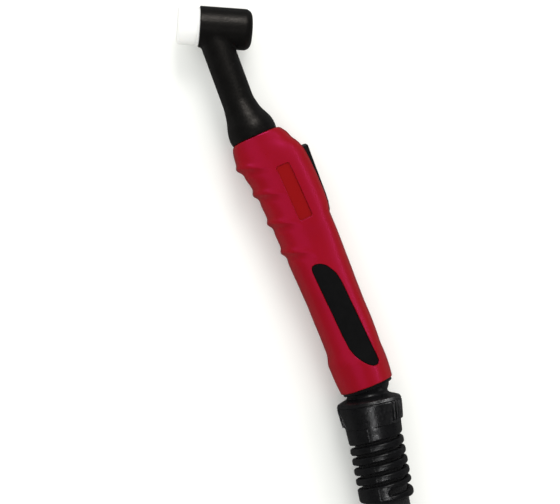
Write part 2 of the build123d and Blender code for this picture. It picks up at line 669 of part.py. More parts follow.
os.makedirs("parts", exist_ok=True)
for frame, shapes in PIECES:
    for name, shape in shapes.items():
        placed = frame.location * shape
        if isinstance(placed, list):                  # a boolean may give a list of solids
            placed = Compound(children=list(placed))
        export_step(placed, f"parts/{name}.step")
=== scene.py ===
# A trigger handle with a round head, a bent neck, a ball knuckle and a ribbed cable support.
# It lies in the XY plane, and z = 0 parts its shells: the left one is above, the right one below.
# The head's axis is X, with the gasket at its -X end. The handle runs from the neck towards -Y
# and a little towards +X, with the trigger on its +X side. Front means the head's end.
# Forms are drawn in mm in local frames: x runs along the part's axis, y across it in the XY
# plane, and z is the world's Z. Meshes, lights and the camera are in metres.
import bpy
import math
from functools import reduce
import numpy as np
from mathutils import Matrix, Vector


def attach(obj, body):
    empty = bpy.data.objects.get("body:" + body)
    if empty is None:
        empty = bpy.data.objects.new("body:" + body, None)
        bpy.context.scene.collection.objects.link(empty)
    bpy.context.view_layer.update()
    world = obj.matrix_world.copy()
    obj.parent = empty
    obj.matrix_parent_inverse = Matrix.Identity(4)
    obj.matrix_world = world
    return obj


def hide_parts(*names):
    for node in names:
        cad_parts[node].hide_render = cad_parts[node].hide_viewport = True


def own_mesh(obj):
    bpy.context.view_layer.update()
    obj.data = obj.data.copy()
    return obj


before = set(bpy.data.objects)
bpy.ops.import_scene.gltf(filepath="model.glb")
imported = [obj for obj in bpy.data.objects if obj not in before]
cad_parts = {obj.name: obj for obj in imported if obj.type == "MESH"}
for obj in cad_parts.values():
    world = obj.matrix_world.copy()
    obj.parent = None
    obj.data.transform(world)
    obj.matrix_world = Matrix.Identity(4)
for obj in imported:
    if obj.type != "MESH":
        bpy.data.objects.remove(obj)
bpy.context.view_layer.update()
COARSE = 1.0
MM = 0.001
scene = bpy.context.scene


# ------------------------------------------------------------------ local frames
def direction(degrees):
    angle = math.radians(degrees)
    return np.array([math.cos(angle), math.sin(angle)])


HANDLE_ORIGIN = (31.96, -56.51)
HANDLE_ALONG = (0.4504, -0.8928)
HANDLE_ANGLE = math.degrees(math.atan2(HANDLE_ALONG[1], HANDLE_ALONG[0]))
BALL_X, BALL_Y = 138.5, 0.45  # the knuckle's centre in the handle's frame
along = direction(HANDLE_ANGLE)
across = np.array([-along[1], along[0]])
BALL = np.array(HANDLE_ORIGIN) + BALL_X * along + BALL_Y * across

# Each frame is its origin (mm) and the angle of its x axis (degrees).
HEAD = (np.array([0.0, 0.0]), 0.0)
NECK = (np.array([6.12, 0.0]), -67.2)
HANDLE = (np.array(HANDLE_ORIGIN), HANDLE_ANGLE)
SOCKET = (BALL, -66.1)
SUPPORT = (BALL, -76.9)


def turn(frame, vectors):
    """Local directions to world directions."""
    axis = direction(frame[1])
    turned = np.empty_like(vectors, dtype=float)
    turned[:, 0] = vectors[:, 0] * axis[0] - vectors[:, 1] * axis[1]
    turned[:, 1] = vectors[:, 0] * axis[1] + vectors[:, 1] * axis[0]
    turned[:, 2] = vectors[:, 2]
    return turned


def to_world(frame, points):
    """Local millimetres to world metres."""
    placed = turn(frame, points)
    placed[:, :2] += frame[0]
    return placed * MM


def to_frame(source, target, x, y):
    """The point (x, y) of the source frame, in the target frame."""
    (source_x, source_y), (target_x, target_y) = source[0], target[0]
    old, new = direction(source[1]), direction(target[1])
    gap_x = source_x + x * old[0] - y * old[1] - target_x
    gap_y = source_y + x * old[1] + y * old[0] - target_y
    return gap_x * new[0] + gap_y * new[1], -gap_x * new[1] + gap_y * new[0]


# ------------------------------------------------------------------ distance fields
# A field gives the distance in mm to a surface, negative inside it.
def overlap(*fields):
    return reduce(np.maximum, fields)


def merge(*fields):
    return reduce(np.minimum, fields)


def round_overlap(one, two, radius):
    """Intersection with its edge rounded."""
    u, v = one + radius, two + radius
    corner = np.sqrt(np.maximum(u, 0) ** 2 + np.maximum(v, 0) ** 2) - radius
    return np.where((u > 0) & (v > 0), corner, np.maximum(one, two))


def round_merge(one, two, radius):
    """Union with a fillet."""
    return -round_overlap(-one, -two, radius)


def cut(solid, hole, radius=0):
    """The solid less the hole, with the rim rounded if a radius is given."""
    if radius:
        return round_overlap(solid, -hole, radius)
    return np.maximum(solid, -hole)


def length(u, v):
    return np.sqrt(u * u + v * v)


def disc(x, y, centre, radius):
    return length(x - centre[0], y - centre[1]) - radius


def ease(start, end, x):
    """A smooth step from 0 at start to 1 at end."""
    t = np.clip((x - start) / (end - start), 0, 1)
    return t * t * (3 - 2 * t)


def bell(offset, width):
    return np.exp(-(offset / width) ** 2)


def wrap(degrees):
    """An angle brought within -180 to 180 degrees."""
    return (degrees + 180.0) % 360.0 - 180.0


def rounded_box(x, y, centre, half, radius):
    u = np.abs(x - centre[0]) - half[0] + radius
    v = np.abs(y - centre[1]) - half[1] + radius
    corner = np.sqrt(np.maximum(u, 0) ** 2 + np.maximum(v, 0) ** 2)
    return corner + np.minimum(np.maximum(u, v), 0) - radius


def polygon(points, x, y):
    """Signed distance to a closed polygon."""
    points = np.asarray(points, float)
    x, y = np.broadcast_arrays(x, y)
    nearest = np.full(x.shape, 1e9)
    inside = np.zeros(x.shape, bool)
    for i, (start_x, start_y) in enumerate(points):
        end_x, end_y = points[(i + 1) % len(points)]
        edge_x, edge_y = end_x - start_x, end_y - start_y
        from_x, from_y = x - start_x, y - start_y
        t = (from_x * edge_x + from_y * edge_y) / (edge_x * edge_x + edge_y * edge_y + 1e-12)
        t = np.clip(t, 0, 1)
        gap = (from_x - t * edge_x) ** 2 + (from_y - t * edge_y) ** 2
        nearest = np.minimum(nearest, gap)
        if edge_y != 0:
            crosses = (start_y > y) != (end_y > y)
            inside ^= crosses & (x < edge_x * (y - start_y) / edge_y + start_x)
    distance = np.sqrt(nearest)
    return np.where(inside, -distance, distance)


def smooth_profile(stations, width, start, end):
    """Stations (x, value) resampled every 0.25 mm and blurred: the new x's and values."""
    pitch = 0.25
    grid = np.arange(start, end + pitch, pitch)
    values = np.interp(grid, *np.array(stations, float).T)
    offsets = np.arange(-int(3 * width / pitch), int(3 * width / pitch) + 1) * pitch
    weights = np.exp(-0.5 * (offsets / width) ** 2)
    weights /= weights.sum()
    # carry the end slopes on, so that the blur doesn't bend the ends
    pad = len(offsets) // 2
    before = np.full(pad, values[0]) + (np.arange(pad) - pad) * (values[1] - values[0])
    after = np.full(pad, values[-1]) + (np.arange(pad) + 1) * (values[-1] - values[-2])
    return grid, np.convolve(np.concatenate([before, values, after]), weights, "valid")


# ------------------------------------------------------------------ mesh makers
def add_mesh(piece, frame, verts, faces, normals=None, *, body, slot, materials, sharp=None):
    """Adds a piece's form. faces is an (n, 4) array or a list of index tuples; sharp is the
    angle in degrees above which edges are sharp."""
    name = f"{piece}_form"
    mesh = bpy.data.meshes.new(name)
    verts = to_world(frame, np.asarray(verts, float))
    if isinstance(faces, np.ndarray):
        count, sides = faces.shape
        mesh.vertices.add(len(verts))
        mesh.vertices.foreach_set("co", verts.astype(np.float32).ravel())
        mesh.loops.add(count * sides)
        mesh.loops.foreach_set("vertex_index", faces.astype(np.int32).ravel())
        mesh.polygons.add(count)
        mesh.polygons.foreach_set("loop_start", (np.arange(count) * sides).astype(np.int32))
        mesh.polygons.foreach_set("loop_total", np.full(count, sides, np.int32))
        mesh.update(calc_edges=True)
    else:
        mesh.from_pydata([tuple(point) for point in verts], [], faces)
        mesh.update()
    mesh.validate()
    mesh.polygons.foreach_set("use_smooth", np.full(len(mesh.polygons), True, bool))
    if normals is not None:
        world_normals = [tuple(normal) for normal in turn(frame, normals)]
        mesh.normals_split_custom_set_from_vertices(world_normals)
    mesh.update()
    form = bpy.data.objects.new(name, mesh)
    scene.collection.objects.link(form)
    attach(form, body)
    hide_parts(piece)
    if sharp:
        mesh.set_sharp_from_angle(angle=math.radians(sharp))
    mesh.materials.clear()
    for surface in materials:
        mesh.materials.append(surface)
    return form


CORNERS = [(i, j, k) for i in (0, 1) for j in (0, 1) for k in (0, 1)]
EDGES = [(a, b) for a in CORNERS for b in CORNERS
         if sum(b) == sum(a) + 1 and all(q >= p for p, q in zip(a, b))]


def gradient(field, points):
    reach = 0.03
    slopes = np.empty_like(points)
    for i in range(3):
        probe = points.copy()
        probe[:, i] += reach
        ahead = field(*probe.T)
        probe[:, i] -= 2 * reach
        slopes[:, i] = (ahead - field(*probe.T)) / (2 * reach)
    return slopes


def surface_net(field, low, high, cell):
    """Surface nets on a field between two corners: vertices, quads and normals."""
    cell = cell * COARSE
    low = np.array(low, float)
    counts = (np.ceil((np.array(high) - low) / cell)).astype(int) + 1
    axes = [low[i] + cell * np.arange(counts[i]) for i in range(3)]
    grid = np.empty(tuple(counts), np.float32)
    slab = max(1, int(1.5e6 / (counts[1] * counts[2])))  # layers at a time, to spare memory
    for start in range(0, counts[0], slab):
        end = min(counts[0], start + slab)
        grid[start:end] = field(axes[0][start:end, None, None], axes[1][None, :, None],
                                axes[2][None, None, :])
    inside = grid < 0
    filled = np.zeros(tuple(counts - 1), np.uint8)
    for i, j, k in CORNERS:
        filled += inside[i:counts[0] - 1 + i, j:counts[1] - 1 + j, k:counts[2] - 1 + k]

    # one vertex per cell the surface passes through, at the mean of its edge crossings
    cells = np.stack(np.nonzero((filled > 0) & (filled < 8)), 1)
    index = np.full(filled.shape, -1, np.int32)
    index[tuple(cells.T)] = np.arange(len(cells))
    verts = np.zeros((len(cells), 3))
    crossings = np.zeros(len(cells))
    for a, b in EDGES:
        start, end = grid[tuple((cells + a).T)], grid[tuple((cells + b).T)]
        hit = (start < 0) != (end < 0)
        t = (start[hit] / (start[hit] - end[hit]))[:, None]
        verts[hit] += np.array(a) + t * (np.array(b) - np.array(a))
        crossings[hit] += 1
    verts = (verts / crossings[:, None] + cells) * cell + low

    # one quad per grid edge the surface crosses, between the four cells round it
    quads = []
    for axis in range(3):
        near = [slice(1, count - 1) for count in counts]
        near[axis] = slice(0, counts[axis] - 1)
        far = list(near)
        far[axis] = slice(1, counts[axis])
        near_inside = inside[tuple(near)]
        edges = np.stack(np.nonzero(near_inside != inside[tuple(far)]), 1)
        corners = []
        for step_one, step_two in ((0, 0), (1, 0), (1, 1), (0, 1)):
            corner = edges.copy()
            corner[:, (axis + 1) % 3] += step_one
            corner[:, (axis + 2) % 3] += step_two
            corners.append(index[tuple(corner.T)])
        quad = np.stack(corners, 1)
        flipped = ~near_inside[tuple(edges.T)]
        quad[flipped] = quad[flipped][:, ::-1]
        quads.append(quad)

    # draw the vertices onto the true surface
    for _ in range(3):
        distance = field(*verts.T)
        slopes = gradient(field, verts)
        steepness = np.maximum((slopes ** 2).sum(1), 0.04)
        move = -(distance / steepness)[:, None] * slopes
        size = np.linalg.norm(move, axis=1)
        move *= np.minimum(1, 0.35 * cell / np.maximum(size, 1e-9))[:, None]
        verts += move
    normals = gradient(field, verts)
    normals /= np.maximum(np.linalg.norm(normals, axis=1), 1e-6)[:, None]
    return verts, np.concatenate(quads), normals


def lathe(outline, segments, shift=None, axis_y=0.0):
    """Turns a closed (x, radius) outline about an axis along x.
    shift(x, radius, angle) is added to the radius."""
    points = np.array(outline, float)
    count = len(points)
    angles = np.tile(np.linspace(0, 2 * math.pi, segments, endpoint=False), count)
    x = np.repeat(points[:, 0], segments)
    radius = np.repeat(points[:, 1], segments)
    if shift is not None:
        radius = radius + shift(x, radius, angles)
    verts = np.stack([x, radius * np.cos(angles) + axis_y, radius * np.sin(angles)], 1)
    i = np.arange(count)[:, None]
    j = np.arange(segments)[None, :]
    row, next_row = i * segments, ((i + 1) % count) * segments
    next_j = (j + 1) % segments
    faces = np.stack([row + j, row + next_j, next_row + next_j, next_row + j], 2).reshape(-1, 4)
    # faces look outwards whichever way the outline runs
    after = np.roll(points, -1, axis=0)
    if np.sum(points[:, 0] * after[:, 1] - after[:, 0] * points[:, 1]) > 0:
        faces = faces[:, ::-1]
    return verts, faces


def rounded_outline(corners, steps):
    """A closed outline from rows (x, radius, corner rounding)."""
    outline = []
    for i, (x, y, rounding) in enumerate(corners):
        if rounding == 0:
            outline.append((x, y))
            continue
        corner = np.array((x, y), float)
        back = np.array(corners[i - 1][:2], float) - corner
        ahead = np.array(corners[(i + 1) % len(corners)][:2], float) - corner
        back_length, ahead_length = np.linalg.norm(back), np.linalg.norm(ahead)
        back, ahead = back / back_length, ahead / ahead_length
        half = math.acos(float(back @ ahead)) / 2
        setback = min(rounding / math.tan(half), 0.45 * back_length, 0.45 * ahead_length)
        radius = setback * math.tan(half)
        middle = (back + ahead) / np.linalg.norm(back + ahead)
        centre = corner + middle * (radius / math.sin(half))
        first = corner + back * setback - centre
        last = corner + ahead * setback - centre
        start = math.atan2(first[1], first[0])
        sweep = math.atan2(last[1], last[0]) - start
        sweep = (sweep + math.pi) % (2 * math.pi) - math.pi
        for k in range(steps + 1):
            angle = start + sweep * k / steps
            outline.append((centre[0] + radius * math.cos(angle),
                            centre[1] + radius * math.sin(angle)))
    return outline


def tube(path, radius, segments):
    """A capped round tube along a path: vertices and faces."""
    path = np.array(path, float)
    tangents = np.gradient(path, axis=0)
    tangents /= np.linalg.norm(tangents, axis=1)[:, None]
    guide = np.array([0.0, 0.0, 1.0])
    if abs(tangents[0] @ guide) > 0.9:
        guide = np.array([0.0, 1.0, 0.0])
    normal = guide - (guide @ tangents[0]) * tangents[0]
    normals = [normal / np.linalg.norm(normal)]
    for tangent in tangents[1:]:
        normal = normals[-1] - (normals[-1] @ tangent) * tangent
        normals.append(normal / np.linalg.norm(normal))
    normals = np.array(normals)
    sides = np.cross(tangents, normals)
    angles = np.linspace(0, 2 * math.pi, segments, endpoint=False)[None, :, None]
    ring = np.cos(angles) * normals[:, None, :] + np.sin(angles) * sides[:, None, :]
    verts = (path[:, None, :] + radius * ring).reshape(-1, 3)
    faces = []
    for row in range(0, (len(path) - 1) * segments, segments):
        for j in range(segments):
            next_j = (j + 1) % segments
            faces.append((row + j, row + next_j, row + segments + next_j, row + segments + j))
    first_centre = len(path) * segments
    last_row = first_centre - segments
    for k in range(segments):
        next_k = (k + 1) % segments
        faces.append((first_centre, next_k, k))
        faces.append((first_centre + 1, last_row + k, last_row + next_k))
    return np.vstack([verts, path[0], path[-1]]), faces


def bundle(tubes):
    """Joins tubes given as (path, radius, segments, material index): vertices, faces and the
    material index of each face."""
    all_verts, all_faces, indices = [], [], []
    base = 0
    for path, radius, segments, index in tubes:
        verts, faces = tube(path, radius, segments)
        all_verts.append(verts)
        all_faces += [tuple(k + base for k in face) for face in faces]
        indices += [index] * len(faces)
        base += len(verts)
    return np.vstack(all_verts), all_faces, indices


# ------------------------------------------------------------------ materials
# the blank recess on both sides of the handle, in the handle's frame
RECESS = (34.3, 5.0)
RECESS_HALF = (15.1, 3.7)


def add_node(tree, kind, inputs=None, **properties):
    """Adds a node. inputs maps sockets to values, or to the outputs that feed them."""
    node = tree.nodes.new(kind)
    for name, value in properties.items():
        setattr(node, name, value)
    for socket, value in (inputs or {}).items():
        feed(tree, node.inputs[socket], value)
    return node


def feed(tree, socket, value):
    if isinstance(value, bpy.types.NodeSocket):
        tree.links.new(value, socket)
    else:
        socket.default_value = value


def mix(tree, factor, first, second):
    inputs = {"Factor": factor, "A": first, "B": second}
    return add_node(tree, "ShaderNodeMix", inputs, data_type="RGBA").outputs["Result"]


def remap(tree, value, source, target):
    """A value taken from the range source to the range target."""
    inputs = {"Value": value, "From Min": source[0], "From Max": source[1],
              "To Min": target[0], "To Max": target[1]}
    return add_node(tree, "ShaderNodeMapRange", inputs).outputs["Result"]


def math_node(tree, operation, *values):
    inputs = dict(enumerate(values))
    return add_node(tree, "ShaderNodeMath", inputs, operation=operation).outputs[0]


def recess_shade_mask(tree, position):
    """1 on the floor of the side recess, where its painted shade goes, and 0 elsewhere."""
    margin, blend = 0.2, 0.15
    local = add_node(tree, "ShaderNodeMapping", {
        "Vector": position,
        "Location": (HANDLE_ORIGIN[0] * MM, HANDLE_ORIGIN[1] * MM, 0),
        "Rotation": (0, 0, math.radians(HANDLE_ANGLE)),
    }, vector_type="TEXTURE").outputs["Vector"]
    split = add_node(tree, "ShaderNodeSeparateXYZ", {"Vector": local})
    masks = []
    for axis, middle, half in zip("XY", RECESS, RECESS_HALF):
        half -= margin
        offset = math_node(tree, "SUBTRACT", split.outputs[axis], middle * MM)
        distance = math_node(tree, "ABSOLUTE", offset)
        masks.append(remap(tree, distance, ((half + blend) * MM, (half - blend) * MM), (0, 1)))
    return math_node(tree, "MULTIPLY", *masks)


def material(name, *, base, rough, mottle, mottle_size, grain, grain_size, rough_var=0.08,
             metallic=0.0, spec=0.5, tint=None, wear=0.0, wear_colour=None, fine=0.0,
             fine_size=None, sheen=0.0, subsurface=0.0, recess_shade_colour=None, recess_tint=None):
    """Colours are linear RGB and sizes are mm. mottle varies the colour in patches, wear
    lightens the edges, grain and fine are the depths of coarse and fine bumps, the recess colour
    paints the floor of the side recess a darker, plainer red as painted shade, and the recess tint
    gives that floor a weaker specular tint."""
    surface = bpy.data.materials.new(name)
    surface.use_nodes = True
    tree = surface.node_tree
    shader = tree.nodes["Principled BSDF"].inputs
    position = add_node(tree, "ShaderNodeTexCoord").outputs["Object"]

    def noise(size, detail, roughness=0.55):
        inputs = {"Vector": position, "Scale": 1000.0 / size, "Detail": detail,
                  "Roughness": roughness}
        return add_node(tree, "ShaderNodeTexNoise", inputs).outputs["Fac"]

    def bump(height, depth, normal=None):
        inputs = {"Height": height, "Strength": 1.0, "Distance": depth * MM}
        if normal is not None:
            inputs["Normal"] = normal
        return add_node(tree, "ShaderNodeBump", inputs).outputs["Normal"]

    spread = 1 + mottle
    dark = (*[c / spread for c in base], 1)
    light = (*[min(1, c * spread) for c in base], 1)
    patches = remap(tree, noise(mottle_size, detail=4.0), (0.3, 0.7), (0, 1))
    colour = mix(tree, patches, dark, light)
    if wear > 0:
        pointiness = add_node(tree, "ShaderNodeNewGeometry").outputs["Pointiness"]
        edges = remap(tree, pointiness, (0.52, 0.6), (0, wear))
        broken = noise(2.5, detail=5.0, roughness=0.7)
        broken = remap(tree, broken, (0.42, 0.62), (0, 1))
        worn = math_node(tree, "MULTIPLY", edges, broken)
        colour = mix(tree, worn, colour, (*wear_colour, 1))
    shader["Metallic"].default_value = metallic
    shader["Specular IOR Level"].default_value = spec
    if tint:
        shader["Specular Tint"].default_value = (*tint, 1)
    if recess_shade_colour:
        # painted shade: the recess floor gets a darker, plainer red and a weaker specular tint
        recess_shade = recess_shade_mask(tree, position)
        colour = mix(tree, recess_shade, colour, (*recess_shade_colour, 1))
        feed(tree, shader["Specular Tint"], mix(tree, recess_shade, (*tint, 1), (*recess_tint, 1)))
    feed(tree, shader["Base Color"], colour)
    gloss = noise(mottle_size * 0.35, detail=5.0, roughness=0.65)
    gloss = remap(tree, gloss, (0.25, 0.75), (rough - rough_var, rough + rough_var))
    feed(tree, shader["Roughness"], gloss)
    if sheen:
        shader["Sheen Weight"].default_value = sheen
        shader["Sheen Roughness"].default_value = 0.4
    if subsurface:
        shader["Subsurface Weight"].default_value = subsurface
        shader["Subsurface Radius"].default_value = (1, 0.95, 0.85)
        shader["Subsurface Scale"].default_value = 0.002
    normal = bump(noise(grain_size, detail=2.0), grain)
    if fine > 0:
        pits = add_node(tree, "ShaderNodeTexVoronoi",
                        {"Vector": position, "Scale": 1000.0 / fine_size})
        normal = bump(pits.outputs["Distance"], fine, normal)
    feed(tree, shader["Normal"], normal)
    return surface


# the recess floor is painted a darker, plainer red as painted shade
red_plastic = material(
    "red_plastic", base=(0.246, 0.0042, 0.0046), rough=0.30, rough_var=0.04, spec=0.65,
    tint=(1.0, 0.05, 0.46), grain=0.012, grain_size=0.45, fine=0.004, fine_size=0.25,
    mottle=0.04, mottle_size=18, wear=0.3, wear_colour=(0.42, 0.03, 0.05),
    recess_shade_colour=(0.222, 0.0052, 0.0044), recess_tint=(0.7, 0.03, 0.10))
black_moulding = material(
    "black_moulding", base=(0.0040, 0.0040, 0.0041), rough=0.40, rough_var=0.13, spec=0.46,
    tint=(1.0, 0.93, 0.87), grain=0.10, grain_size=0.95, fine=0.012, fine_size=0.35,
    mottle=0.2, mottle_size=5, wear=0.35, wear_colour=(0.03, 0.027, 0.025))
black_inlay = material(
    "black_inlay", base=(0.0037, 0.0037, 0.0040), rough=0.74, rough_var=0.05, spec=0.14,
    grain=0.03, grain_size=0.3, fine=0.012, fine_size=0.3, mottle=0.12, mottle_size=4)
trigger_black = material(
    "trigger_black", base=(0.0045, 0.0045, 0.005), rough=0.42, spec=0.4, grain=0.012,
    grain_size=0.4, mottle=0.1, mottle_size=6, wear=0.5, wear_colour=(0.04, 0.04, 0.04))
black_nylon = material(
    "black_nylon", base=(0.0042, 0.0043, 0.0050), rough=0.34, rough_var=0.14,
    grain=0.085, grain_size=1.7, fine=0.010, fine_size=0.35,
    mottle=0.25, mottle_size=4, wear=0.5, wear_colour=(0.045, 0.045, 0.05))
ptfe = material(
    "ptfe", base=(0.86, 0.86, 0.84), rough=0.45, rough_var=0.06, spec=0.3, subsurface=0.25,
    grain=0.006, grain_size=0.5, mottle=0.015, mottle_size=4)
brass = material(
    "brass", base=(0.60, 0.42, 0.17), rough=0.30, rough_var=0.1, metallic=1.0,
    grain=0.004, grain_size=0.25, mottle=0.12, mottle_size=3)
copper = material(
    "copper", base=(0.66, 0.27, 0.14), rough=0.30, rough_var=0.1, metallic=1.0,
    grain=0.004, grain_size=0.2, mottle=0.12, mottle_size=3)
zinc_steel = material(
    "zinc_steel", base=(0.52, 0.52, 0.50), rough=0.30, rough_var=0.1, metallic=1.0,
    grain=0.004, grain_size=0.2, mottle=0.08, mottle_size=2)
hose_rubber = material(
    "hose_rubber", base=(0.012, 0.012, 0.013), rough=0.6, spec=0.35,
    grain=0.02, grain_size=0.6, mottle=0.2, mottle_size=5)
cable_cover = material(
    "cable_cover", base=(0.011, 0.011, 0.012), rough=0.62, rough_var=0.1, spec=0.3,
    sheen=0.15, grain=0.03, grain_size=0.35, mottle=0.25, mottle_size=3)
switch_grey = material(
    "switch_grey", base=(0.10, 0.105, 0.115), rough=0.5,
    grain=0.008, grain_size=0.3, mottle=0.06, mottle_size=4)
lead_jacket = material(
    "lead_jacket", base=(0.016, 0.016, 0.018), rough=0.5,
    grain=0.01, grain_size=0.5, mottle=0.15, mottle_size=5)
core_blue = material(
    "core_insulation", base=(0.03, 0.09, 0.36), rough=0.35,
    grain=0.006, grain_size=0.4, mottle=0.08, mottle_size=3)
core_brown = material(
    "core_insulation_brown", base=(0.16, 0.055, 0.02), rough=0.35,
    grain=0.006, grain_size=0.4, mottle=0.08, mottle_size=3)

# ------------------------------------------------------------------ the handle's outside
# (x, y) of the edge on the trigger side
TOP_EDGE = smooth_profile([
    (-6, 13.6), (0, 13.8), (0.6, 14.2), (2, 15.3), (4, 16.55), (5, 16.8), (6, 16.95), (8, 17.8),
    (10, 19), (12, 19.8), (14, 20.5), (16, 20.9), (20, 21.2), (30, 21.4), (40, 21.2),
    (46, 20.7), (48, 20.2), (50, 19.6), (52, 19.3), (60, 19.2), (66, 19), (70, 18.85),
    (80, 18.35), (90, 17.7), (100, 17.2), (110, 17), (116, 16.6), (120, 16.25), (124, 15.9),
    (130, 15.35), (136, 14.95), (140, 14.4), (142, 14), (150, 13.6)], 0.7, -8, 155)
# (x, y) of the opposite edge, before its finger ribs
BOTTOM_EDGE = smooth_profile([
    (-6, -12.4), (0, -12.6), (2, -13.7), (4, -14.25), (8, -14.9), (12, -14.9), (14, -14.5),
    (16, -14), (18, -13.5), (20, -13.05), (22, -12.6), (24, -12.3), (27.7, -12.2),
    (30, -11.95), (34, -11.75), (38, -11.6), (42, -11.55), (46, -11.45), (50, -11.3),
    (56, -11.2), (61, -11.2), (66, -11.05), (92, -11.05), (100, -11.45), (110, -11.7),
    (118, -12.1), (120, -12.4), (122, -13.1), (124, -14), (126, -14.6), (128, -14.95),
    (132, -14.8), (138, -14.4), (142, -14), (150, -13.6)], 0.9, -8, 155)
# (x, half width in z)
HALF_WIDTH = smooth_profile([
    (-6, 12.6), (0, 12.9), (10, 14), (20, 15), (45, 15), (60, 14.8), (90, 14.2), (118, 13.9),
    (128, 14.5), (150, 14.5)], 5.0, -8, 155)
# (x in the socket's frame, radius) of the round flare at the rear
FLARE = smooth_profile([
    (-30, 14.6), (-16, 14.8), (-12, 14.95), (-9, 15), (-6, 14.95), (-3, 14.8), (0, 14.5),
    (2.9, 14.15), (10, 13.8)], 1.0, -35, 12)
# (x, height) of the finger ribs
RIBS = [(12.2, 1.15), (27.7, 1.25), (44.4, 1.25), (61.0, 1.25)]
RIB_SLANT = 0.45


def handle_outside(x, y, z):
    """The handle's outside, without recesses."""
    top, bottom = np.interp(x, *TOP_EDGE), np.interp(x, *BOTTOM_EDGE)
    half_width = np.interp(x, *HALF_WIDTH)
    middle, half_height = (top + bottom) / 2, (top - bottom) / 2
    side = np.abs(z)
    # a superellipse, squarer towards the trigger
    power = 2.15 + 0.5 * (y > middle) * (1 - ease(56, 76, x)) * ease(4, 12, x)
    scale = (np.abs((y - middle) / half_height) ** power
             + (side / (half_width + 0.55)) ** power) ** (1 / power) + 1e-9
    shape = length(y - middle, z) * (1 - 1 / scale)
    # soft facets: the flat side, the slope to the fingers and the slope to the trigger
    shape = round_overlap(shape, side - half_width + 0.012 * (y - 7), radius=5.0)
    low = -1.2 - 0.04 * np.clip(x - 60, 0, 60)
    shape = round_overlap(shape, 0.372 * (low - y) + 0.928 * (side - half_width), radius=3.0)
    high = np.where(x < 70, 13.6, 13.6 + 0.03 * (x - 70))
    shape = round_overlap(shape, 0.55 * (y - high) + 0.835 * (side - half_width), radius=2.0)
    # finger ribs, slanted back up the side and fading, each with a dip behind it
    rise = y - bottom
    fade = 1.0 - ease(2.5, 13.5, rise)
    dip_depth = 0.42 + 0.45 * ease(1.0, 4.0, rise)
    for rib_x, height in RIBS:
        offset = x - rib_x - RIB_SLANT * np.clip(rise, -2, 16)
        crest = np.exp(-np.abs(np.where(offset < 0, offset / 2.3, offset / 1.25)) ** 2.2)
        shape = shape - fade * (height * crest - dip_depth * bell(offset - 3.3, 1.9))
    # round flare about the socket's axis at the rear
    socket_x, socket_y = to_frame(HANDLE, SOCKET, x, y)
    flare = length(socket_y, z) - np.interp(socket_x, *FLARE)
    weight = ease(119, 129, x)
    return (1 - weight) * shape + weight * flare


# (x, y) of the grip inlay's outline: smooth runs that meet at corners
INLAY_RUNS = [
    [(76.3, -3.4), (95.0, -3.02), (115.0, -2.6)],
    [(115.0, -2.6), (120.4, -2.1), (125.6, -0.4), (129.8, 2.4), (132.3, 5.3)],
    [(132.3, 5.3), (132.6, 7.7), (131.4, 9.2), (128.5, 9.65)],
    [(128.5, 9.65), (108.0, 9.1), (88.8, 8.6)],
    [(88.8, 8.6), (84.0, 8.25), (79.6, 7.0), (75.4, 4.5), (73.2, 1.5)],
    [(73.2, 1.5), (72.9, -1.3), (73.9, -2.9), (76.3, -3.4)],
]


def smooth_run(points, steps=6):
    """A Catmull-Rom curve through the points, without its last point."""
    knots = [np.array(point, float) for point in points]
    knots = [2 * knots[0] - knots[1]] + knots + [2 * knots[-1] - knots[-2]]
    curve = []
    for a, b, c, d in zip(knots, knots[1:], knots[2:], knots[3:]):
        for t in np.linspace(0, 1, steps, endpoint=False):
            curve.append(0.5 * (2 * b + (c - a) * t + (2 * a - 5 * b + 4 * c - d) * t * t
                                + (3 * b - a - 3 * c + d) * t ** 3))
    return curve


INLAY = [point for run in INLAY_RUNS for point in smooth_run(run)]

# ------------------------------------------------------------------ handle shells and inlays
WALL = 2.4
AXIS_Y = -0.2  # axis of the round front bore and of the moulding that fills it
PIN = (46.0, 16.5)  # trigger pivot
PIN_HOLE = 1.53
# (x, y, depth below z = 0 where the head's counterbore ends)
SCREWS = [(7.5, 13.2, 5.6), (57.0, 13.4, 8.4), (88.0, 13.1, 6.4), (126.0, -10.65, 3.8)]
BOSS, LEFT_HOLE, RIGHT_HOLE, COUNTERBORE = 3.1, 1.27, 1.3, 2.35  # screw radii
LEFT_HOLE_END = 5.8
HALF_GAP = 0.01  # from each shell to the parting plane
RECESS_DEPTH = 1.0
POCKET_DEPTH = 1.1  # of the inlay's pocket


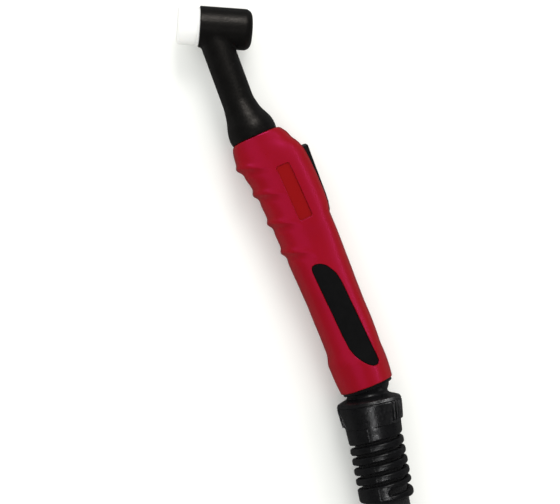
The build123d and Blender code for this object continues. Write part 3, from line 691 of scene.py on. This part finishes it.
def shell(x, y, z):
    """Both shells as one hollow body."""
    outside = handle_outside(x, y, z)
    socket_x, socket_y = to_frame(HANDLE, SOCKET, x, y)
    socket_radius = length(socket_y, z)
    # front and rear rims
    shape = round_overlap(outside, 0.0 - x, radius=0.9)
    shape = round_overlap(shape, socket_x - 2.9, radius=0.55)
    # inside: main cavity, front bore, then the rear bore, its wider mouth and a groove in it
    cavity = merge(
        overlap(outside + WALL, 20.5 - x, x - 129.0),
        overlap(length(y - AXIS_Y, z) - 10.05, x - 22.0),
        overlap(socket_radius - 11.3, -14.0 - socket_x),
        overlap(socket_radius - 13.45, -7.7 - socket_x),
        overlap(socket_radius - 13.95, np.abs(socket_x + 4.0) - 1.05))
    bosses = merge(overlap(disc(x, y, PIN, 3.0), 6.2 - np.abs(z)),
                   *[disc(x, y, screw, BOSS) for screw in SCREWS[1:]])
    shape = cut(shape, cut(cavity, bosses))
    # trigger opening, with a deeper pocket near its front end
    opening = merge(
        overlap(rounded_box(x, z, (32.15, 0.0), (19.15, 6.15), 1.1), 14.0 - y),
        overlap(np.abs(x - 17.25) - 4.25, np.abs(z) - 6.15, 9.9 - y))
    shape = cut(shape, opening, radius=0.35)
    shape = cut(shape, overlap(disc(x, y, PIN, PIN_HOLE), np.abs(z) - 9.6))
    recess = overlap(rounded_box(x, y, RECESS, RECESS_HALF, 1.3), -(outside + RECESS_DEPTH))
    shape = cut(shape, recess, radius=0.14)
    pocket = overlap(polygon(INLAY, x, y), -(outside + POCKET_DEPTH))
    return cut(shape, pocket, radius=0.28)


def left_shell(x, y, z):
    holes = [overlap(disc(x, y, screw, LEFT_HOLE), z - LEFT_HOLE_END) for screw in SCREWS]
    return round_overlap(cut(shell(x, y, z), merge(*holes)), HALF_GAP - z, radius=0.22)


def right_shell(x, y, z):
    holes = []
    for screw in SCREWS:
        holes.append(disc(x, y, screw, RIGHT_HOLE))
        holes.append(overlap(disc(x, y, screw, COUNTERBORE), z + screw[2]))
    shape = cut(shell(x, y, z), merge(*holes), radius=0.2)
    return round_overlap(shape, z + HALF_GAP, radius=0.22)


def inlay(sign):
    """The grip inlay on the side of z's sign, sunk a little below the handle's outside."""
    def field(x, y, z):
        outside = handle_outside(x, y, z)
        shape = round_overlap(polygon(INLAY, x, y) + 0.09, outside + 0.32, radius=0.45)
        return overlap(shape, -(outside + 1.05), -sign * z)
    return field


for side, field, low_z, high_z in (("left", left_shell, -0.6, 16.6),
                                   ("right", right_shell, -16.6, 0.6)):
    add_mesh(f"handle_shell_{side}", HANDLE,
             *surface_net(field, (-1, -18, low_z), (146, 23, high_z), 0.44),
             body="handle", slot="red_plastic", materials=[red_plastic])
for side, sign, low_z, high_z in (("left", 1, 6, 16), ("right", -1, -16, -6)):
    add_mesh(f"grip_inlay_{side}", HANDLE,
             *surface_net(inlay(sign), (71, -5, low_z), (135, 11.5, high_z), 0.3),
             body="handle", slot="black_inlay", materials=[black_inlay])

# ------------------------------------------------------------------ head and neck
# (x in the handle's frame, radius) where the neck widens to meet the handle
SWELL = smooth_profile([
    (-25, 1.5), (-22, 4.4), (-20, 6), (-18, 7.1), (-16, 8), (-14, 8.95), (-12, 9.95), (-10, 11),
    (-8, 11.85), (-6, 12.4), (-4, 12.65), (-2, 12.65), (-1, 12.5), (0, 12.25), (3, 11.6),
], 0.6, -26, 4)
HEAD_RADIUS, HEAD_LENGTH = 10.75, 27.5
NECK_RADIUS, NECK_LENGTH = 8.4, 58.0
TUBE_HOLE = 4.3
GASKET_SEAT, GASKET_END = 8.4, 4.0


def overmould(x, y, z):
    radius = length(y, z)
    head = round_overlap(radius - HEAD_RADIUS, -x, radius=0.45)
    head = round_overlap(head, x - HEAD_LENGTH, radius=4.0)
    neck_x, neck_y = to_frame(HEAD, NECK, x, y)
    neck_radius = length(neck_y, z)
    neck = overlap(neck_radius - NECK_RADIUS, -neck_x, neck_x - NECK_LENGTH)
    shape = overlap(round_merge(head, neck, radius=0.9), -x)
    handle_x, handle_y = to_frame(HEAD, HANDLE, x, y)
    handle_radius = length(handle_y - AXIS_Y, z)
    swell = (handle_radius - np.interp(handle_x, *SWELL)) * 0.88
    shape = round_merge(shape, overlap(swell, -24.0 - handle_x), radius=3.0)
    shape = round_overlap(shape, handle_x + 0.03, radius=0.5)
    shank = overlap(handle_radius - 10.0, handle_x - 20.0, -1.0 - handle_x)
    shape = merge(shape, shank)
    # fine groove along the parting plane
    shape = shape + 0.10 * bell(z, 0.16)
    # bore for the core, the wider gasket seat and the mouth at the far end
    bore = merge(overlap(radius - 7.25, np.abs(x - 14.1) - 9.95),
                 overlap(radius - 8.45, x - 4.2))
    shape = cut(shape, bore)
    shape = cut(shape, overlap(radius - 5.9, 23.0 - x), radius=0.5)
    # hole down the neck, carried on into the shank
    shank_hole = length(handle_y + 2.0, z)
    hole = np.where(handle_x < -2, neck_radius, shank_hole) - TUBE_HOLE
    return cut(shape, overlap(hole, 4.0 - neck_x))


add_mesh("head_overmould", HEAD, *surface_net(overmould, (-1.0, -84, -14), (52, 12, 14), 0.46),
         body="handle", slot="black_moulding", materials=[black_moulding])

# (x, radius, corner rounding), with a shallow groove close to the head
GASKET = [
    (-11.3, 6.25, 0.6), (-11.3, 9.8, 1.35), (-1.75, 9.8, 0.12), (-1.75, 9.5, 0.08),
    (-1.15, 9.5, 0.08), (-1.15, 9.8, 0.2), (0, 9.8, 0.2), (0, GASKET_SEAT, 0.1),
    (GASKET_END, GASKET_SEAT, 0.3), (GASKET_END, 6.25, 0.3)]
add_mesh("cup_gasket", HEAD, *lathe(rounded_outline(GASKET, 5), 160),
         body="handle", slot="ptfe", materials=[ptfe], sharp=40)

# The core is a sleeve with a threaded hole at each end.
THREAD_RADIUS, THREAD_PITCH, THREAD_DEPTH = 4.33, 0.794, 0.42
THREADS = [(-2.6, 6.6), (14.2, 23.6)]  # x where each thread starts and ends
FRONT_STATIONS = np.arange(-2.4, 6.8, 0.08)
REAR_STATIONS = np.arange(14.4, 23.6, 0.08)
CORE = ([(-3.0, 4.75), (-3.0, 5.8), (-2.6, 6.2), (4.2, 6.2), (4.2, 7.0), (4.4, 7.2),
         (23.8, 7.2), (24.0, 7.0), (24.0, 4.75), (23.6, THREAD_RADIUS)]
        + [(x, THREAD_RADIUS) for x in REAR_STATIONS[::-1]]
        + [(14.0, THREAD_RADIUS), (13.4, 3.0), (7.6, 3.0), (7.0, THREAD_RADIUS)]
        + [(x, THREAD_RADIUS) for x in FRONT_STATIONS[::-1]] + [(-2.6, THREAD_RADIUS)])


def core_threads(x, radius, angle):
    phase = (x / THREAD_PITCH - angle / (2 * math.pi)) % 1.0
    ridge = THREAD_DEPTH * np.clip(1.3 * (1 - np.abs(2 * phase - 1)) - 0.15, 0, 1)
    threaded = sum(ease(start, start + 0.5, x) * (1 - ease(end - 0.5, end, x))
                   for start, end in THREADS)
    return ridge * threaded * (np.abs(radius - THREAD_RADIUS) < 0.02)


add_mesh("head_core", HEAD, *lathe(CORE, 88, core_threads),
         body="handle", slot="brass", materials=[brass], sharp=40)

# ------------------------------------------------------------------ trigger
# (x, y) outlines of the lever and of the hollow under its pad
LEVER = [
    (13.3, 17.2), (13.3, 21.0), (13.6, 22.2), (14.6, 22.95), (17, 22.85), (20, 22.6),
    (26, 22.2), (30, 21.97), (34, 21.7), (38, 21.45), (42, 21.2), (45.5, 20.8), (48.0, 20.2),
    (50.0, 19.7), (50.8, 19.0), (50.8, 18.0), (46, 17.6), (46, 15.6), (40, 16.6)]
LEVER_HOLLOW = [(15.2, 14.0), (15.2, 20.4), (45.5, 18.9), (49.4, 18.2), (49.4, 14.0)]
LEVER_HALF_WIDTH = 6.0
NOSE_X, NOSE_RADIUS = 27, 1.6
GROOVES_X = (19.0, 22.0, 25.0, 28.0, 31.0)
GROOVE_RADIUS = 0.85


def lever(x, y, z):
    side = np.abs(z)
    shape = round_overlap(polygon(LEVER, x, y), side - LEVER_HALF_WIDTH, radius=1.25)
    shape = cut(shape, overlap(polygon(LEVER_HOLLOW, x, y), side - 5.1))
    ears = overlap(disc(x, y, PIN, 3.1), np.abs(side - 5.55) - 0.45)
    # a round-ended rib under the pad
    nose = overlap(merge(disc(x, y, (NOSE_X, 17.93), NOSE_RADIUS),
                         overlap(np.abs(x - NOSE_X) - NOSE_RADIUS, np.abs(y - 19.4) - 1.47)),
                   side - 2.0)
    shape = merge(shape, ears, nose)
    # shallow grooves across the pad, following its slope
    for groove_x in GROOVES_X:
        groove_y = 22.75 - 0.066 * (groove_x - 18) + 0.62
        groove = disc(x, y, (groove_x, groove_y), GROOVE_RADIUS)
        shape = cut(shape, overlap(groove, side - 4.6), radius=0.2)
    return cut(shape, disc(x, y, PIN, PIN_HOLE))


add_mesh("trigger_lever", HANDLE,
         *surface_net(lever, (12.4, 12.6, -6.8), (51.8, 24, 6.8), 0.3),
         body="trigger", slot="trigger_black", materials=[trigger_black])

# return spring, coiled along y with its end turns closer together
SPRING_X, SPRING_RADIUS, SPRING_WIRE = 18.1, 2.3, 0.28
SPRING_START, SPRING_LENGTH = 11.5, 7.9
SPRING_TURNS, STEPS_PER_TURN = 6.5, 26
steps = int(SPRING_TURNS * STEPS_PER_TURN)
coil = []
for i in range(steps + 1):
    t = i / steps
    angle = 2 * math.pi * SPRING_TURNS * t
    rise = t - 0.045 * math.sin(2 * math.pi * t)
    coil.append((SPRING_X + SPRING_RADIUS * math.cos(angle),
                 SPRING_START + SPRING_LENGTH * rise, SPRING_RADIUS * math.sin(angle)))
spring = add_mesh("return_spring", HANDLE, *tube(coil, SPRING_WIRE, 10),
                  body="trigger", slot="spring_steel", materials=[zinc_steel])
# world points at the spring's top and at its foot on the switch frame; the lever comes down 1.56 mm
top, foot = to_world(HANDLE, np.array([(SPRING_X, 19.7, 0.0), (SPRING_X, 11.2, 0.0)]))
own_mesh(spring)

# ------------------------------------------------------------------ knuckle
# (x, radius) outlines, each closed by an arc of the ball
SEAT_RADIUS, BALL_RADIUS = 12.65, 12.6
RING = [
    (-7.5, 11.3), (-7.5, 13.2), (-7.3, 13.4), (-5.05, 13.4), (-5.0, 13.8), (-4.8, 13.9),
    (-3.2, 13.9), (-3.0, 13.8), (-2.95, 13.4), (3.8, 13.4), (4.25, 13.3), (4.45, 13.1),
    (4.5, 12.9), (4.4, 12.75), (4.2, 12.6)]
RING += [(x, math.sqrt(SEAT_RADIUS ** 2 - x * x)) for x in np.linspace(3.2, -5.7, 20)]
add_mesh("socket_ring", SOCKET, *lathe(RING, 144),
         body="socket_ring", slot="black_nylon", materials=[black_nylon], sharp=38)

arc_start, arc_end = math.acos(-7.0 / BALL_RADIUS) - 0.03, math.acos(6.45 / BALL_RADIUS)
KNUCKLE = [(-6.7, 8.3), (-7.0, 8.7), (-7.0, 10.2)]
KNUCKLE += [(BALL_RADIUS * math.cos(angle), BALL_RADIUS * math.sin(angle))
            for angle in np.linspace(arc_start, arc_end, 34)]
KNUCKLE += [
    (6.9, 10.74), (7.4, 10.86), (7.9, 11.1), (8.28, 11.42), (8.3, 11.3), (8.3, 10.2),
    (17.0, 10.2), (17.1, 10.8), (17.3, 10.9), (17.6, 10.85), (18.4, 10.2), (18.5, 9.9),
    (18.5, 8.2)]
add_mesh("knuckle_ball", SUPPORT, *lathe(KNUCKLE, 144),
         body="knuckle_ball", slot="black_nylon", materials=[black_nylon], sharp=38)

# ------------------------------------------------------------------ collar nut
# (x, radius over the ribs, radius between the groups of ribs)
COLLAR_X, COLLAR_CREST, COLLAR_PLAIN = np.array([
    (8.3, 11.5, 11.5), (8.8, 12.6, 12.6), (9.4, 14.1, 14.1), (10, 15.55, 15.55),
    (10.5, 16.4, 16.4), (11, 16.65, 16.65), (11.85, 17, 17), (12.2, 17.02, 16.95),
    (13, 17, 16.8), (16, 16.75, 16.2), (19, 16.4, 15.6), (21, 16.15, 15.2), (22.6, 15.9, 14.92),
    (23.2, 15.6, 14.82), (23.7, 15.1, 14.75)]).T
RIB_GROUPS = (25.0, 205.0)  # degrees about x from +y: middles of the two groups
RIB_PITCH = 8.2  # degrees
RIB_FLOOR = 0.42  # depth between ribs


def collar(x, y, z):
    radius = length(y, z)
    angle = np.degrees(np.arctan2(z, y))
    plain = np.interp(x, COLLAR_X, COLLAR_PLAIN)
    crest = np.interp(x, COLLAR_X, COLLAR_CREST) + 0.08
    ribbed = ease(12.0, 12.6, x) * (1 - ease(22.2, 22.5, x))
    outside = plain
    for middle in RIB_GROUPS:
        offset = wrap(angle - middle)
        wave = 0.5 + 0.5 * np.cos(2 * np.pi * (offset - RIB_PITCH / 2) / RIB_PITCH)
        height = (crest - plain + RIB_FLOOR) * ease(0.12, 0.72, wave) - RIB_FLOOR
        outside = outside + (1 - ease(32.0, 33.6, np.abs(offset))) * ribbed * height
    shape = (radius - outside) * 0.86
    # a groove just behind the shoulder and a low lip in front of it
    shape = shape + 0.26 * bell(x - 12.42, 0.26) - 0.10 * bell(x - 11.85, 0.28)
    shape = round_overlap(shape, 8.35 - x, radius=0.15)
    shape = round_overlap(shape, x - 23.68, radius=0.03)
    shape = cut(shape, overlap(radius - 13.55, 21.0 - x))
    tail = overlap(radius - 10.0, np.abs(x - 25.5) - 5.5)
    bore = merge(overlap(radius - 10.25, x - 17.2),
                 overlap(radius - 11.0, np.abs(x - 17.9) - 0.9),
                 radius - 8.6)
    return cut(merge(shape, tail), bore)


add_mesh("collar_nut", SUPPORT,
         *surface_net(collar, (7.6, -17.8, -17.8), (31.8, 17.8, 17.8), 0.3),
         body="cable_support", slot="black_nylon", materials=[black_nylon])

# ------------------------------------------------------------------ bend relief sleeve
# (x, radius)
SLEEVE = np.array([
    (20, 13.5), (23.69, 13.5), (23.71, 14.72), (23.75, 14.74), (25, 14.62), (27.5, 14.5),
    (29.2, 14.35), (30, 14.3), (31, 14.35), (58, 14.35), (60.5, 14.35), (62.6, 14.2)]).T
SLEEVE_START, SLEEVE_END, SLEEVE_BORE = 21.1, 62.6, 12.0
# a right-handed helical slot, in degrees about x from +y
SLOT_X, SLOT_PITCH = 56.64, 5.25  # x where the angle is 0, and advance per turn
SLOT_START, SLOT_END = -1890.0, 90.0
SLOT_START_X, SLOT_END_X = 29.08, 57.95


def sleeve(x, y, z):
    radius = length(y, z)
    angle = np.degrees(np.arctan2(z, y))
    shape = (radius - np.interp(x, *SLEEVE)) * 0.95
    shape = round_overlap(shape, x - SLEEVE_END, radius=1.7)
    shape = overlap(shape, SLEEVE_START - x)
    # distance to the nearest turn of the slot
    nearest = np.round((x - SLOT_X) / SLOT_PITCH - angle / 360.0)
    nearest = np.clip(nearest, np.ceil((SLOT_START - angle) / 360.0),
                      np.floor((SLOT_END - angle) / 360.0))
    distance = np.abs(x - (SLOT_X + SLOT_PITCH * (nearest + angle / 360.0))) * 0.985
    # the rounded ends of the slot
    for end, end_x in ((SLOT_END, SLOT_END_X), (SLOT_START, SLOT_START_X)):
        round_end = length(np.radians(wrap(angle - end)) * radius, x - end_x)
        distance = np.minimum(distance, round_end)
    # it widens over its last part
    half_width = 0.66 + 0.85 * ease(-60, 40, angle + 360.0 * nearest)
    shape = cut(shape, distance - half_width, radius=1.35)
    # a faint raised line along the coils
    line = np.abs(wrap(angle - 115.0))
    shape = shape - 0.10 * bell(np.radians(line) * radius, 0.22)
    return overlap(shape, SLEEVE_BORE - radius)


add_mesh("bend_relief_sleeve", SUPPORT,
         *surface_net(sleeve, (20.6, -15.4, -15.4), (63.4, 15.4, 15.4), 0.38),
         body="cable_support", slot="black_nylon", materials=[black_nylon])

# ------------------------------------------------------------------ cable
HOSE_Y, LEAD_Y = -1.5, 6.0  # axes in the support's frame

# braided cover: a fine over-under weave in the surface
COVER_RADIUS, WEAVE_PITCH, WEAVE_COUNT = 11.42, 1.6, 24
COVER = [(x, COVER_RADIUS) for x in np.arange(21.4, 95.6, 0.32)]
COVER += [(95.8, 11.3), (96.0, 11.0), (96.0, 10.3), (95.8, 10.05), (21.4, 10.05)]


def weave(x, radius, angle):
    along_phase = x / WEAVE_PITCH * math.pi
    round_phase = angle * WEAVE_COUNT
    fine = np.cos(along_phase + round_phase) * np.cos(along_phase - round_phase)
    sag = 0.10 * np.sin(x / 9.0 + 1.3 * np.sin(angle)) * np.sin(angle * 2 + x / 14.0)
    return (0.13 * fine + sag - 0.05) * (np.abs(radius - COVER_RADIUS) < 0.01)


add_mesh("cable_cover", SUPPORT, *lathe(COVER, 288, weave),
         body="cable_support", slot="cover_rubber", materials=[cable_cover])

# (x, radius, corner rounding)
HOSE = [(-4, 3.25, 0.2), (-4, 5.5, 0.5), (104, 5.5, 0.5), (104, 3.25, 0.2)]
add_mesh("power_hose_rear", SUPPORT, *lathe(rounded_outline(HOSE, 4), 72, axis_y=HOSE_Y),
         body="cable_support", slot="hose_rubber", materials=[hose_rubber], sharp=40)

# copper strands in layers (radius, count, first angle), twisted and splayed at the end
STRAND_LAYERS = [(0.0, 1, 0.0), (1.04, 6, 0.0), (2.08, 12, 0.26)]
STRAND_RADIUS = 0.515
strands = []
for layer_radius, count, first_angle in STRAND_LAYERS:
    for i in range(count):
        path = []
        for x in np.linspace(100.5, 112 - 0.1 * (i % 3), 16):
            angle = first_angle + 2 * math.pi * i / count + (x - 100) * 0.16
            splay = 1.0 + 0.02 * max(0, x - 108)
            path.append((x, HOSE_Y + layer_radius * splay * math.cos(angle),
                         layer_radius * splay * math.sin(angle)))
        strands.append((path, STRAND_RADIUS, 10, 0))
verts, faces, _ = bundle(strands)
add_mesh("power_strands_rear", SUPPORT, verts, faces,
         body="cable_support", slot="copper", materials=[copper], sharp=50)

# (x, radius, corner rounding)
LEAD = [(-3, 0.4, 0.1), (-3, 1.9, 0.25), (106, 1.9, 0.15), (106, 1.6, 0.1), (101, 1.6, 0),
        (101, 0.4, 0)]
add_mesh("control_lead_rear", SUPPORT, *lathe(rounded_outline(LEAD, 3), 48, axis_y=LEAD_Y),
         body="cable_support", slot="lead_jacket", materials=[lead_jacket], sharp=40)

# two insulated cores (z, x of the end), each with a bare copper tip
CORES = [(0.78, 112.0), (-0.78, 113.0)]
TIP_LENGTH = 3.0
cores = []
for i, (z, end) in enumerate(CORES):
    bare = end - TIP_LENGTH
    cores.append(([(x, LEAD_Y, z) for x in np.linspace(101.1, bare, 8)], 0.7, 16, i))
    cores.append(([(x, LEAD_Y, z) for x in np.linspace(bare, end, 5)], 0.42, 12, 2))
verts, faces, indices = bundle(cores)
form = add_mesh("control_cores_rear", SUPPORT, verts, faces,
                body="cable_support", slot="core_insulation",
                materials=[core_blue, core_brown, copper], sharp=50)
form.data.polygons.foreach_set("material_index", np.array(indices, np.int32))

# ------------------------------------------------------------------ CAD pieces that keep their shape
KEPT = {
    "neck_tube": copper, "tube_adapter": brass, "union_nut": brass, "cable_nipple": brass,
    "crimp_ferrule": copper, "power_hose_front": hose_rubber, "power_strands_front": copper,
    "shell_screws": zinc_steel, "switch_frame": black_nylon, "trigger_pin": zinc_steel,
    "microswitch_case": switch_grey, "microswitch_terminals": brass,
    "switch_screws": zinc_steel, "control_lead_front": lead_jacket,
    "control_wires": core_blue, "microswitch_plunger": black_nylon, "cover_clamp": zinc_steel,
}
for name, surface in KEPT.items():
    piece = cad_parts[name]
    if not piece.data.materials:
        piece.data.materials.append(surface)
    for material_slot in piece.material_slots:
        material_slot.material = surface

# ------------------------------------------------------------------ floor and world
FLOOR_Z = -0.0172
FLOOR_COLOUR = (0.966, 0.974, 0.945, 1)
FLOOR_MIRRORED = (0.10, 0.10, 0.10, 1)  # the darker floor that glossy parts see
WORLD_STRENGTH, WORLD_MIRRORED = 1.0, 0.024

bpy.ops.mesh.primitive_grid_add(x_subdivisions=8, y_subdivisions=8, size=6.0,
                                location=(0.05, -0.12, FLOOR_Z))
floor = bpy.context.object
floor.name = "floor"
floor_material = bpy.data.materials.new("floor")
floor_material.use_nodes = True
tree = floor_material.node_tree
shader = tree.nodes["Principled BSDF"].inputs
shader["Base Color"].default_value = FLOOR_COLOUR
shader["Roughness"].default_value = 0.9
shader["Specular IOR Level"].default_value = 0.1
glossy = add_node(tree, "ShaderNodeLightPath").outputs["Is Glossy Ray"]
feed(tree, shader["Base Color"], mix(tree, glossy, FLOOR_COLOUR, FLOOR_MIRRORED))
floor.data.materials.append(floor_material)

# even light for matt surfaces, little to mirror in glossy ones
scene.world = bpy.data.worlds.new("world")
scene.world.use_nodes = True
tree = scene.world.node_tree
background = tree.nodes["Background"].inputs
background["Color"].default_value = (1.0, 1.0, 0.99, 1)
glossy = add_node(tree, "ShaderNodeLightPath").outputs["Is Glossy Ray"]
feed(tree, background["Strength"],
     remap(tree, glossy, (0.0, 1.0), (WORLD_STRENGTH, WORLD_MIRRORED)))

# ------------------------------------------------------------------ lights
CENTRE = Vector((0.04744, -0.11545, 0.0))
AIM = (0.05, -0.11, 0)
UP = Vector((0, 0, 1))


def pose(x_axis, y_axis, z_axis, place):
    return Matrix([*zip(x_axis, y_axis, z_axis, place), (0, 0, 0, 1)])


def area(name, *, size, power, size_y=None, color=(1, 1, 1)):
    """An area light, not yet placed."""
    data = bpy.data.lights.new(name, "AREA")
    data.energy = power
    data.color = color
    data.shape = "RECTANGLE"
    data.size = size
    data.size_y = size_y or size
    light = bpy.data.objects.new(name, data)
    scene.collection.objects.link(light)
    return light


def aimed(name, *, at, look=AIM, **settings):
    """An area light at a place, turned to face another."""
    light = area(name, **settings)
    light.location = at
    light.rotation_euler = (Vector(look) - Vector(at)).to_track_quat("-Z", "Y").to_euler()
    return light


def only_for(light, group, names):
    """Lets a light reach the named forms only."""
    collection = bpy.data.collections.new(group)
    for name in names:
        collection.objects.link(bpy.data.objects[name])
    light.light_linking.receiver_collection = collection


def strip(name, *, lean, size, size_y, power):
    """A long soft box 1 m from the handle, seen in reflections only. It leans by degrees about
    the handle's axis, + towards the trigger."""
    angle = math.radians(lean)
    along = Vector((*direction(HANDLE_ANGLE), 0))
    across = Vector((-along.y, along.x, 0))
    outward = across * math.sin(angle) + UP * math.cos(angle)
    light = area(name, size=size, size_y=size_y, power=power)
    light.matrix_world = pose(along.cross(outward), along, outward, CENTRE + outward)
    light.visible_diffuse = False
    return light


key = aimed("key", at=(0.85, 0.10, 0.62), size=0.8, power=2.6, color=(1.0, 0.98, 0.96))
fill = aimed("fill", at=(-0.70, 0.15, 0.55), look=CENTRE, size=0.6, power=0.9,
             color=(0.93, 0.96, 1.0))
for light in (key, fill):
    light.visible_glossy = False
aimed("top", at=(0.03, 0.64, 0.75), size=0.36, power=2.6, color=(1.0, 0.99, 0.97))
aimed("front", at=(-0.02, -0.30, 0.98), size=0.16, power=0.14, color=(1.0, 0.99, 1.0))

# reflections on single pieces
SHELLS = ("handle_shell_left_form", "handle_shell_right_form")
rear = aimed("rear", at=(0.080, -0.400, 0.461), look=(0.107, -0.250, 0), size=0.10,
             power=0.023, color=(0.99, 0.99, 1.0))
rear.visible_diffuse = False
rear.data.spread = math.radians(38)
only_for(rear, "rear_only", ("bend_relief_sleeve_form", "collar_nut_form"))

COLLAR = (0.0982, -0.1967)
REACH = 0.80  # from the collar to the lip light, and along the handle to the rim light
lip = aimed("lip", at=(COLLAR[0] + REACH * 0.68, COLLAR[1] + REACH * 0.67, REACH * 0.30),
            look=(*COLLAR, 0.012), size=1.2, size_y=0.10, power=6.5)
lip.visible_diffuse = False
rim = aimed("rim", at=(CENTRE.x - 0.4503 * REACH, CENTRE.y + 0.8929 * REACH, 0.62),
            look=CENTRE, size=1.0, size_y=0.10, power=7.0, color=(1.0, 0.9, 0.85))
rim.visible_diffuse = False
only_for(lip, "lip_only", ("collar_nut_form",))
only_for(rim, "rim_only", SHELLS)
only_for(strip("strip_low", lean=-24, size=0.50, size_y=1.3, power=1.6), "low_only", SHELLS)
only_for(strip("strip_high", lean=36, size=0.26, size_y=1.3, power=0.65), "high_only", SHELLS)
only_for(strip("strip_line", lean=50, size=0.05, size_y=1.0, power=1.3), "line_only", SHELLS)

# ------------------------------------------------------------------ camera
DISTANCE = 0.690
VIEW_WIDTH = 0.2912  # seen at that distance
SENSOR = 36.0
TILT = math.radians(8.0)  # from straight above, away from the trigger

camera_data = bpy.data.cameras.new("camera")
camera = bpy.data.objects.new("camera", camera_data)
scene.collection.objects.link(camera)
scene.camera = camera
side = Vector((HANDLE_ALONG[1], -HANDLE_ALONG[0], 0.0)).normalized()
back = (UP * math.cos(TILT) + side * math.sin(TILT)).normalized()
right = Vector((-0.0419, 0.99912, 0.0)).cross(back).normalized()
camera.matrix_world = pose(right, back.cross(right).normalized(), back,
                           CENTRE + back * DISTANCE)
camera_data.sensor_width = SENSOR
camera_data.lens = SENSOR * DISTANCE / VIEW_WIDTH
camera_data.clip_start = 0.01
camera_data.clip_end = 20
scene.view_settings.view_transform = "Standard"
scene.view_settings.look = "None"
scene.view_settings.exposure = 0.0
